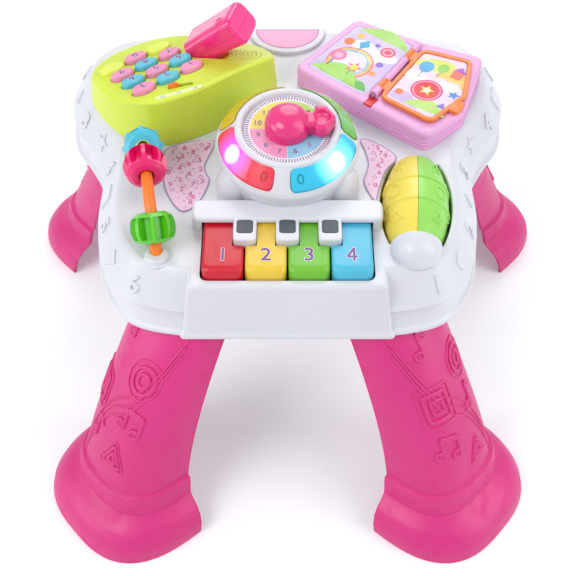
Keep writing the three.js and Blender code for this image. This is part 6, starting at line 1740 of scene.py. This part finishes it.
def book_housing():
    outline = rounded(book_points(BOOK_SHARES), BOOK_ROUND, 10)
    pitch = BOOK_HEIGHT * 0.7 / GROOVE_COUNT
    rings = [ring_at(outline, 0)]
    for i in range(GROOVE_COUNT):
        z = (i + 0.6) * pitch
        for k in range(7):
            a = math.pi * k / 6
            rings.append(ring_at(outline, z - GROOVE_DEPTH * math.cos(a), GROOVE_DEPTH * math.sin(a)))
    rings += [ring_at(outline, BOOK_HEIGHT - BOOK_DRAFT * fall, BOOK_DRAFT * away)
              for away, fall in quarter(6)]
    block = loft(rings, BOOK)
    hollow = loft([ring_at(outline, z, BOOK_WALL) for z in (-OVERRUN, BOOK_HEIGHT - BOOK_WALL)], BOOK)
    lugs = [along_spine(KNUCKLE_RADIUS, y, KNUCKLE_LENGTH) for y in LUGS]
    under = -KNUCKLE_RADIUS * 2
    feet = [box(-KNUCKLE_RADIUS, KNUCKLE_RADIUS, y - KNUCKLE_LENGTH / 2, y + KNUCKLE_LENGTH / 2, under,
                PIN_RISE, SPINE) for y in LUGS]
    middle = KNUCKLES[1] - KNUCKLE_LENGTH / 2 - RUNNING_GAP
    lugs.append(along_spine(KNUCKLE_RADIUS - SEAT_GAP, 0, middle * 2))
    feet.append(box(-PIN_RADIUS - SEAT_GAP, PIN_RADIUS + SEAT_GAP, -middle, middle, under, PIN_RISE, SPINE))
    sheet = rounded(book_points(LEFT_SHEET_SHARES), SHEET_INSET)
    seat = loft([ring_at(sheet, BOOK_HEIGHT + z, -SEAT_GAP) for z in (-SHEET_THICK, OVERRUN)], BOOK)
    x, y = MARKER_PLACE
    wide = MARKER_SIZE[0] / 2 + SEAT_GAP
    marker = box(x - wide, x + wide, y - SEAT_GAP, y + MARKER_SIZE[1], BOOK_HEIGHT - MARKER_THICK,
                 BOOK_HEIGHT + OVERRUN, BOOK)
    body = cut(block, along_spine(KNUCKLE_RADIUS + RUNNING_GAP, 0, SPINE_LENGTH + RUNNING_GAP * 2))
    body = cut(join(body, *lugs, *feet), hollow, seat, marker,
               along_spine(PIN_RADIUS + SEAT_GAP, 0, SPINE_LENGTH + OVERRUN))
    moulded(body, "book_housing", "table",
            plastic("book_pink_plastic", tuple(colours().book), 0.38, 0.12, 0.04), 30.0)


def page_points(shrink):
    outline = rounded([(x * PAGE_SIZE[0], y * PAGE_SIZE[1]) for x, y in PAGE_SHARES], PAGE_ROUND, 9)
    return [(x + PAGE_START * (1 - x / PAGE_SIZE[0]), y) for x, y, _ in ring_at(outline, 0, shrink)]


def picture(where, top, rise, shapes):
    """Flat ink shapes laid one over another on a sheet."""
    made = []
    for layer, (kind, x, y, a, b, code) in enumerate(shapes):
        high_z = top + rise * (0.5 + 1.6 * layer / len(shapes))
        if kind == "hill":
            outline = [(x + a * (k / 24 - 0.5), y + b * math.sin(math.pi * k / 24))
                       for k in range(24, -1, -1)]
            outline += [(x - a / 2, y - HILL_FOOT), (x + a / 2, y - HILL_FOOT)]
        elif kind == "strip":
            outline = rounded(rectangle(x - a / 2, x + a / 2, y - b / 2, y + b / 2), min(a, b) * 0.3, 4)
        elif kind == "text":
            text = glyph(b, a, high_z - top + PRINT_SINK, 0.05, where @ shift(x, y, top - PRINT_SINK))
            made.append(inked(text, paint(code)))
            continue
        elif kind == "band":
            outline = sector(a - b, a, 0, 359.5, 40)
            outline = [(x + p, y + q) for p, q in outline]
        else:
            outline = [(x + p * a, y + q * b) for p, q in shape_outline(kind, 1.0)]
        made.append(inked(prism(outline, top - PRINT_SINK, high_z, where), paint(code)))
    return made


LEFT_PICTURE = [
    ("hill", -26, 26, 50, 13, "A8D86A"), ("hill", -44, -37, 26, 12, "C9B2EA"),
    ("hill", -24, -38, 40, 13, "8CCB52"), ("hill", -8, -37, 18, 8, "5FB04A"),
    ("circle", -33, 7, 12, 8, "FFFFFF"), ("circle", -22, 2, 13, 9, "FFFFFF"),
    ("circle", -10, 8, 9, 6, "FFFFFF"), ("band", -31, -16, 20, 1.6, "F27C7C"),
    ("band", -31, -16, 18, 1.6, "F8C32E"), ("band", -31, -16, 16, 1.6, "7CC8E8"),
    ("circle", -31, -16, 14, 14, "E9E0F8"), ("hill", -31, -37, 44, 17, "A2D75E"),
    ("strip", -44, -24, 1.2, 12, "7A5230"), ("circle", -44, -14, 7, 7, "EB6FA0"),
    ("circle", -44, -14, 4, 4, "F8A8CC"), ("strip", -24, -26, 0.9, 9, "4E9E3C"),
    ("star", -24, -19, 7.5, 7.5, "EC4C9A"), ("circle", -24, -19, 3.6, 3.6, "F9DC3C"),
    ("diamond", -35, 10, 5, 7, "4AA8DC"), ("strip", -35, 1, 0.6, 8, "7C6AA8"),
    ("circle", -14, 14, 6.5, 6.5, "E8406A"), ("band", -14, 14, 4.4, 1.1, "F8C8D8"),
    ("circle", -48, 6, 4.5, 4.5, "F07828"), ("star", -8, -16, 4.2, 4.2, "F8A030"),
    ("circle", -10, -3, 3.2, 3.2, "8A6CD0"), ("circle", -45, 18, 3, 3, "F8C32E"),
    ("star", -26, 16, 3.2, 3.2, "7A5CC0")]
PAGE_PICTURE = [
    ("hill", 30, 16, 52, 16, "D8E06A"), ("hill", 44, 12, 30, 14, "F8C860"),
    ("hill", 20, -33, 34, 14, "C9B2EA"), ("hill", 42, -31, 36, 13, "B4DC6C"),
    ("circle", 17, 2, 10, 6, "FFFFFF"), ("circle", 46, 3, 9, 5, "FFFFFF"),
    ("circle", 33, -9, 13, 13, "E63C7C"), ("circle", 33, -9, 11.4, 11.4, "F6A8C8"),
    ("circle", 33, -9, 10.4, 10.4, "E02838"), ("star", 33, -9, 6.5, 6.5, "F9DC3C"),
    ("circle", 33, -9, 2.4, 2.4, "FFFFFF"), ("circle", 19, 17, 6, 7, "4AA8DC"),
    ("strip", 19, 6, 0.6, 9, "7C6AA8"), ("circle", 32, 22, 4.6, 5.6, "8CCB52"),
    ("strip", 32, 13, 0.6, 8, "7C6AA8"), ("square", 45, 20, 4.6, 4.6, "E86A5A"),
    ("triangle", 45, 27, 6.5, 4.5, "B04AC8"), ("star", 54, -3, 5.2, 5.2, "4A88DC"),
    ("circle", 15, -22, 3.4, 3.4, "F07828"), ("triangle", 52, -20, 4.4, 4.4, "8A6CD0"),
    ("circle", 56, 10, 3, 3, "F8C32E")]
BACK_PICTURE = [
    ("hill", 32, -31, 40, 9, "7CC8E8"), ("circle", 22, 18, 7, 7, "F8C32E"),
    ("square", 44, -6, 6, 6, "EB6FA0"), ("triangle", 44, 6, 9, 7, "7A5CC0"),
    ("circle", 26, -8, 5, 5, "8CCB52"), ("star", 48, 24, 4, 4, "F07828")]


def book_pages():
    rise = sizes().print_rise / UNIT
    ink = printed("page_print", 0.35)
    sheet = rounded(book_points(LEFT_SHEET_SHARES), SHEET_INSET)
    base = BOOK_HEIGHT - SHEET_THICK + SEAT_GAP
    top = base + SHEET_THICK - PRINT_ROOM
    left = [inked(soft_prism(sheet, base, top, 0.3, BOOK, 2), paint("D3C2EE"))]
    left += picture(BOOK, top, rise, LEFT_PICTURE)
    settle(gather(left), "left_page_printed", "left_page_sheet", "table", ink, 32.0, ["left_page_sheet"])
    outline = page_points(FRAME_BORDER + SEAT_GAP)
    half = CARD_THICK / 2 - PRINT_ROOM
    card = [inked(prism(outline, PIN_RISE - half, PIN_RISE + half, SPINE), paint("E6D4F0"))]
    card += picture(SPINE, PIN_RISE + half, rise, PAGE_PICTURE)
    back = SPINE @ shift(0, 0, PIN_RISE * 2) @ turn("X", 180)
    card += picture(back, PIN_RISE + half, rise, BACK_PICTURE)
    settle(gather(card), "page_card_printed", "page_card", "page", ink, 32.0, ["page_card"])


def page_frame():
    base, top = PIN_RISE - FRAME_THICK / 2, PIN_RISE + FRAME_THICK / 2
    edge = sizes().edge / UNIT
    outer = page_points(0)
    levels = [(base, edge), (base + edge / 3, edge / 3), (base + edge, 0), (top - edge, 0),
              (top - edge / 3, edge / 3), (top, edge)]
    plate = loft([ring_at(outer, z, inset) for z, inset in levels], SPINE)
    hole, ease = page_points(FRAME_BORDER), edge * 0.6
    levels = [(base - OVERRUN, -ease), (base, -ease), (base + ease, 0), (top - ease, 0), (top, -ease),
              (top + OVERRUN, -ease)]
    opening = loft([ring_at(hole, z, inset) for z, inset in levels], SPINE)
    tab = rectangle(PAGE_SIZE[0] - FRAME_BORDER, PAGE_SIZE[0] + TAB_REACH, -TAB_Y - TAB_WIDTH / 2,
                    -TAB_Y + TAB_WIDTH / 2)
    tab = soft_prism(rounded(tab, FRAME_BORDER / 2), base, top, edge, SPINE)
    barrels = [along_spine(KNUCKLE_RADIUS - SEAT_GAP, y, KNUCKLE_LENGTH) for y in KNUCKLES]
    arms = [box(0, PAGE_START + FRAME_BORDER / 2, y - KNUCKLE_LENGTH / 2, y + KNUCKLE_LENGTH / 2, base, top,
                SPINE)
            for y in KNUCKLES]
    clearings = [along_spine(KNUCKLE_RADIUS + RUNNING_GAP * 2, y, KNUCKLE_LENGTH + RUNNING_GAP * 2)
                 for y in LUGS]
    body = cut(join(plate, tab), opening, *clearings)
    body = cut(join(body, *barrels, *arms), along_spine(PIN_RADIUS + SEAT_GAP, 0, SPINE_LENGTH + OVERRUN))
    moulded(body, "page_frame", "page", plastic("frame_orange_plastic", tuple(colours().orange), 0.3, 0.08),
            32.0)


def bookmark():
    x, y = MARKER_PLACE
    wide = MARKER_SIZE[0] / 2
    outline = rounded(rectangle(x - wide, x + wide, y, y + MARKER_SIZE[1] - SEAT_GAP), wide / 2)
    base = BOOK_HEIGHT - MARKER_THICK + SEAT_GAP
    moulded(soft_prism(outline, base, base + MARKER_THICK, 0.5, BOOK), "bookmark", "table",
            plastic("bookmark_red_plastic", paint("D71E32"), 0.3, 0.1))


def book():
    book_housing()
    book_pages()
    page_frame()
    bookmark()


# Nameplate and printed panels

def inside(outline, x, y):
    """Whether a point lies inside an outline."""
    within = False
    for (ax, ay), (bx, by) in zip(outline, outline[1:] + outline[:1]):
        if (ay > y) != (by > y) and x < (bx - ax) * (y - ay) / (by - ay) + ax:
            within = not within
    return within


def scattered(outline):
    """Small numerals, rings and dots strewn over a panel, each clear of its edge."""
    core = [(x, y) for x, y, _ in ring_at(outline, 0, SCATTER_MARGIN)]
    shapes, count = [], 0
    for row in range(-18, 6):
        for column in range(-24, 25):
            stray = (math.sin(row * 5.1 + column * 3.7), math.cos(row * 2.3 + column * 4.9))
            x = column * SCATTER + SCATTER * 0.5 * (row % 2) + SCATTER_STRAY * stray[0]
            y = row * SCATTER * 0.8 + SCATTER_STRAY * stray[1]
            if not inside(core, x, y):
                continue
            count += 1
            code = ("D0569A", "E58CC0", "C774B8")[count % 3]
            if count % 3 == 0:
                shapes.append(("text", x, y, 7.0, str((count * 7 // 3) % 9 + 1), code))
            elif count % 3 == 1:
                shapes.append(("circle", x, y, 0.6, 0.6, code))
            elif count % 2:
                shapes.append(("band", x, y, 1.8, 0.5, code))
            else:
                shapes.append(("star", x, y, 1.1, 1.1, code))
    return shapes


def panels():
    rise = sizes().print_rise / UNIT
    ink = printed("panel_print", 0.4)
    for node, shares in (("left_panel", LEFT_PANEL_SHARES), ("right_panel", RIGHT_PANEL_SHARES)):
        outline = spline([(x * FRONT_HALF_WIDTH, y * FRONT_DEPTH) for x, y in shares], 104, True)
        base = PLAY_HEIGHT + SEAT_GAP
        top = base + PANEL_THICK - PRINT_ROOM
        inner = [(x, y) for x, y, _ in ring_at(outline, 0, 1.0)]
        parts = [inked(prism(outline, base, top - 0.1), paint("A890BC")),
                 inked(prism(inner, base + 0.1, top), tuple(colours().panel))]
        parts += picture(STILL, top, rise, scattered(outline))
        settle(gather(parts), f"{node}_printed", node, "table", ink, 32.0, [node])
    base = PLAY_HEIGHT + PAD_RAISE - PLATE_THICK + SEAT_GAP
    plate = soft_prism(plate_outline(0), base, base + PLATE_THICK, 0.5)
    moulded(plate, "nameplate", "table",
            plastic("nameplate_pink_plastic", tuple(colours().plate), 0.25, 0.05, 0.06, 0.3))


# Stage

def seen_strength(tree, seen, unseen):
    """Strength that differs between what is looked at or mirrored and what lights the object."""
    path = tree.nodes.new("ShaderNodeLightPath")
    mirrored = math_node(tree, "MAXIMUM", path.outputs["Is Glossy Ray"], path.outputs["Is Transmission Ray"])
    share = math_node(tree, "MAXIMUM", path.outputs["Is Camera Ray"], mirrored)
    return math_node(tree, "ADD", math_node(tree, "MULTIPLY", share, seen - unseen), unseen)


def stage():
    scene = bpy.context.scene
    corners = [(x, y, 0) for x, y in rectangle(-FLOOR_HALF, FLOOR_HALF, -FLOOR_HALF, FLOOR_HALF)]
    floor = solid(corners, [(0, 1, 2, 3)], STILL, "floor")
    made = Finish("pale_floor", 0.85)
    made.colour(made.mix(made.noise(3.0), paint("F6F6F7"), paint("F9F9FA")))
    made.give(Emission_Color=FLOOR_GLOW)
    tree = made.material.node_tree
    away = tree.nodes.new("ShaderNodeVectorMath")
    away.operation = "LENGTH"
    tree.links.new(made.spot, away.inputs[0])
    lift = made.spread(away.outputs["Value"], *FLOOR_FADE, FLOOR_LIFT, 1.0)
    lift = math_node(tree, "MULTIPLY", seen_strength(tree, 1.0, 0.0), lift)
    tree.links.new(lift, made.shader.inputs["Emission Strength"])
    floor.data.materials.append(made.material)
    for name, (place, width, power) in LAMPS.items():
        lamp = bpy.data.lights.new(name, "AREA")
        lamp.shape = "DISK"
        lamp.size = width
        lamp.energy = power
        holder = bpy.data.objects.new(name, lamp)
        holder.location = place
        holder.rotation_euler = (Vector(LAMP_TARGET) - Vector(place)).to_track_quat("-Z", "Y").to_euler()
        scene.collection.objects.link(holder)
    world = bpy.data.worlds.new("studio")
    world.use_nodes = True
    world.node_tree.nodes["Background"].inputs["Color"].default_value = (1, 1, 1, 1)
    world.node_tree.links.new(seen_strength(world.node_tree, WORLD_SEEN, WORLD_STRENGTH),
                              world.node_tree.nodes["Background"].inputs["Strength"])
    scene.world = world
    camera = bpy.data.cameras.new("camera")
    camera.lens = CAMERA_LENS
    camera.sensor_width = 36.0
    camera.shift_x = CAMERA_SHIFT
    holder = bpy.data.objects.new("camera", camera)
    holder.location = CAMERA_PLACE
    holder.rotation_euler = (math.radians(CAMERA_TILT), 0, 0)
    scene.collection.objects.link(holder)
    scene.camera = holder
    scene.view_settings.view_transform = "Standard"


# Operators

class TABLE_OT_top_shell(bpy.types.Operator):
    """Mould the white table top with its rim figures"""
    bl_idname = "table.top_shell"
    bl_label = "Top shell"

    def execute(self, context):
        top_shell()
        rim_figures()
        return {"FINISHED"}


class TABLE_OT_underside(bpy.types.Operator):
    """Finish the bottom shell, its screws and the parts inside"""
    bl_idname = "table.underside"
    bl_label = "Underside and inner parts"

    def execute(self, context):
        underside()
        return {"FINISHED"}


class TABLE_OT_legs(bpy.types.Operator):
    """Mould the four legs with their raised figures"""
    bl_idname = "table.legs"
    bl_label = "Legs"

    def execute(self, context):
        legs()
        return {"FINISHED"}


class TABLE_OT_piano(bpy.types.Operator):
    """Mould the piano keys, their numerals and the dark strips"""
    bl_idname = "table.piano"
    bl_label = "Piano"

    def execute(self, context):
        piano()
        return {"FINISHED"}


class TABLE_OT_bead_track(bpy.types.Operator):
    """Mould the bent rod and its three ribbed beads"""
    bl_idname = "table.bead_track"
    bl_label = "Bead track"

    def execute(self, context):
        bead_track()
        return {"FINISHED"}


class TABLE_OT_roller(bpy.types.Operator):
    """Mould the two halves of the roller"""
    bl_idname = "table.roller"
    bl_label = "Roller"

    def execute(self, context):
        roller()
        return {"FINISHED"}


class TABLE_OT_dial(bpy.types.Operator):
    """Mould the dial pod, its printed disc, pointer knob and light buttons"""
    bl_idname = "table.dial"
    bl_label = "Dial"

    def execute(self, context):
        dial()
        return {"FINISHED"}


class TABLE_OT_phone(bpy.types.Operator):
    """Mould the phone console, its number buttons and its slider"""
    bl_idname = "table.phone"
    bl_label = "Phone console"

    def execute(self, context):
        phone()
        return {"FINISHED"}


class TABLE_OT_handset(bpy.types.Operator):
    """Mould the two halves of the tinted handset"""
    bl_idname = "table.handset"
    bl_label = "Handset"

    def execute(self, context):
        handset()
        return {"FINISHED"}


class TABLE_OT_book(bpy.types.Operator):
    """Mould the book, its framed page and its printed sheets"""
    bl_idname = "table.book"
    bl_label = "Book"

    def execute(self, context):
        book()
        return {"FINISHED"}


class TABLE_OT_panels(bpy.types.Operator):
    """Print the two panels and mould the bare nameplate"""
    bl_idname = "table.panels"
    bl_label = "Panels and nameplate"

    def execute(self, context):
        panels()
        return {"FINISHED"}


class TABLE_OT_stage(bpy.types.Operator):
    """Set the floor, lamps, world and camera"""
    bl_idname = "table.stage"
    bl_label = "Stage"

    def execute(self, context):
        stage()
        return {"FINISHED"}


OPERATORS = [TABLE_OT_stage, TABLE_OT_top_shell, TABLE_OT_underside, TABLE_OT_legs, TABLE_OT_piano,
             TABLE_OT_bead_track, TABLE_OT_roller, TABLE_OT_dial, TABLE_OT_phone, TABLE_OT_handset,
             TABLE_OT_book, TABLE_OT_panels]


class TABLE_PT_parts(bpy.types.Panel):
    """Sidebar panel with the sizes, colours and parts of the table"""
    bl_label = "Activity table"
    bl_idname = "TABLE_PT_parts"
    bl_space_type = "VIEW_3D"
    bl_region_type = "UI"
    bl_category = "Activity table"

    def draw(self, context):
        for group in (context.scene.table_sizes, context.scene.table_colours):
            column = self.layout.column(align=True)
            for name in group.bl_rna.properties.keys():
                if name not in ("rna_type", "name"):
                    column.prop(group, name)
        for operator in OPERATORS:
            self.layout.operator(operator.bl_idname)


CLASSES = [TableSizes, TableColours, *OPERATORS, TABLE_PT_parts]


def register():
    for item in CLASSES:
        bpy.utils.register_class(item)
    bpy.types.Scene.table_sizes = bpy.props.PointerProperty(type=TableSizes)
    bpy.types.Scene.table_colours = bpy.props.PointerProperty(type=TableColours)


def unregister():
    del bpy.types.Scene.table_sizes
    del bpy.types.Scene.table_colours
    for item in reversed(CLASSES):
        bpy.utils.unregister_class(item)


def main():
    register()
    for operator in OPERATORS:
        area, name = operator.bl_idname.split(".")
        getattr(getattr(bpy.ops, area), name)()


if __name__ == "__main__":
    main()
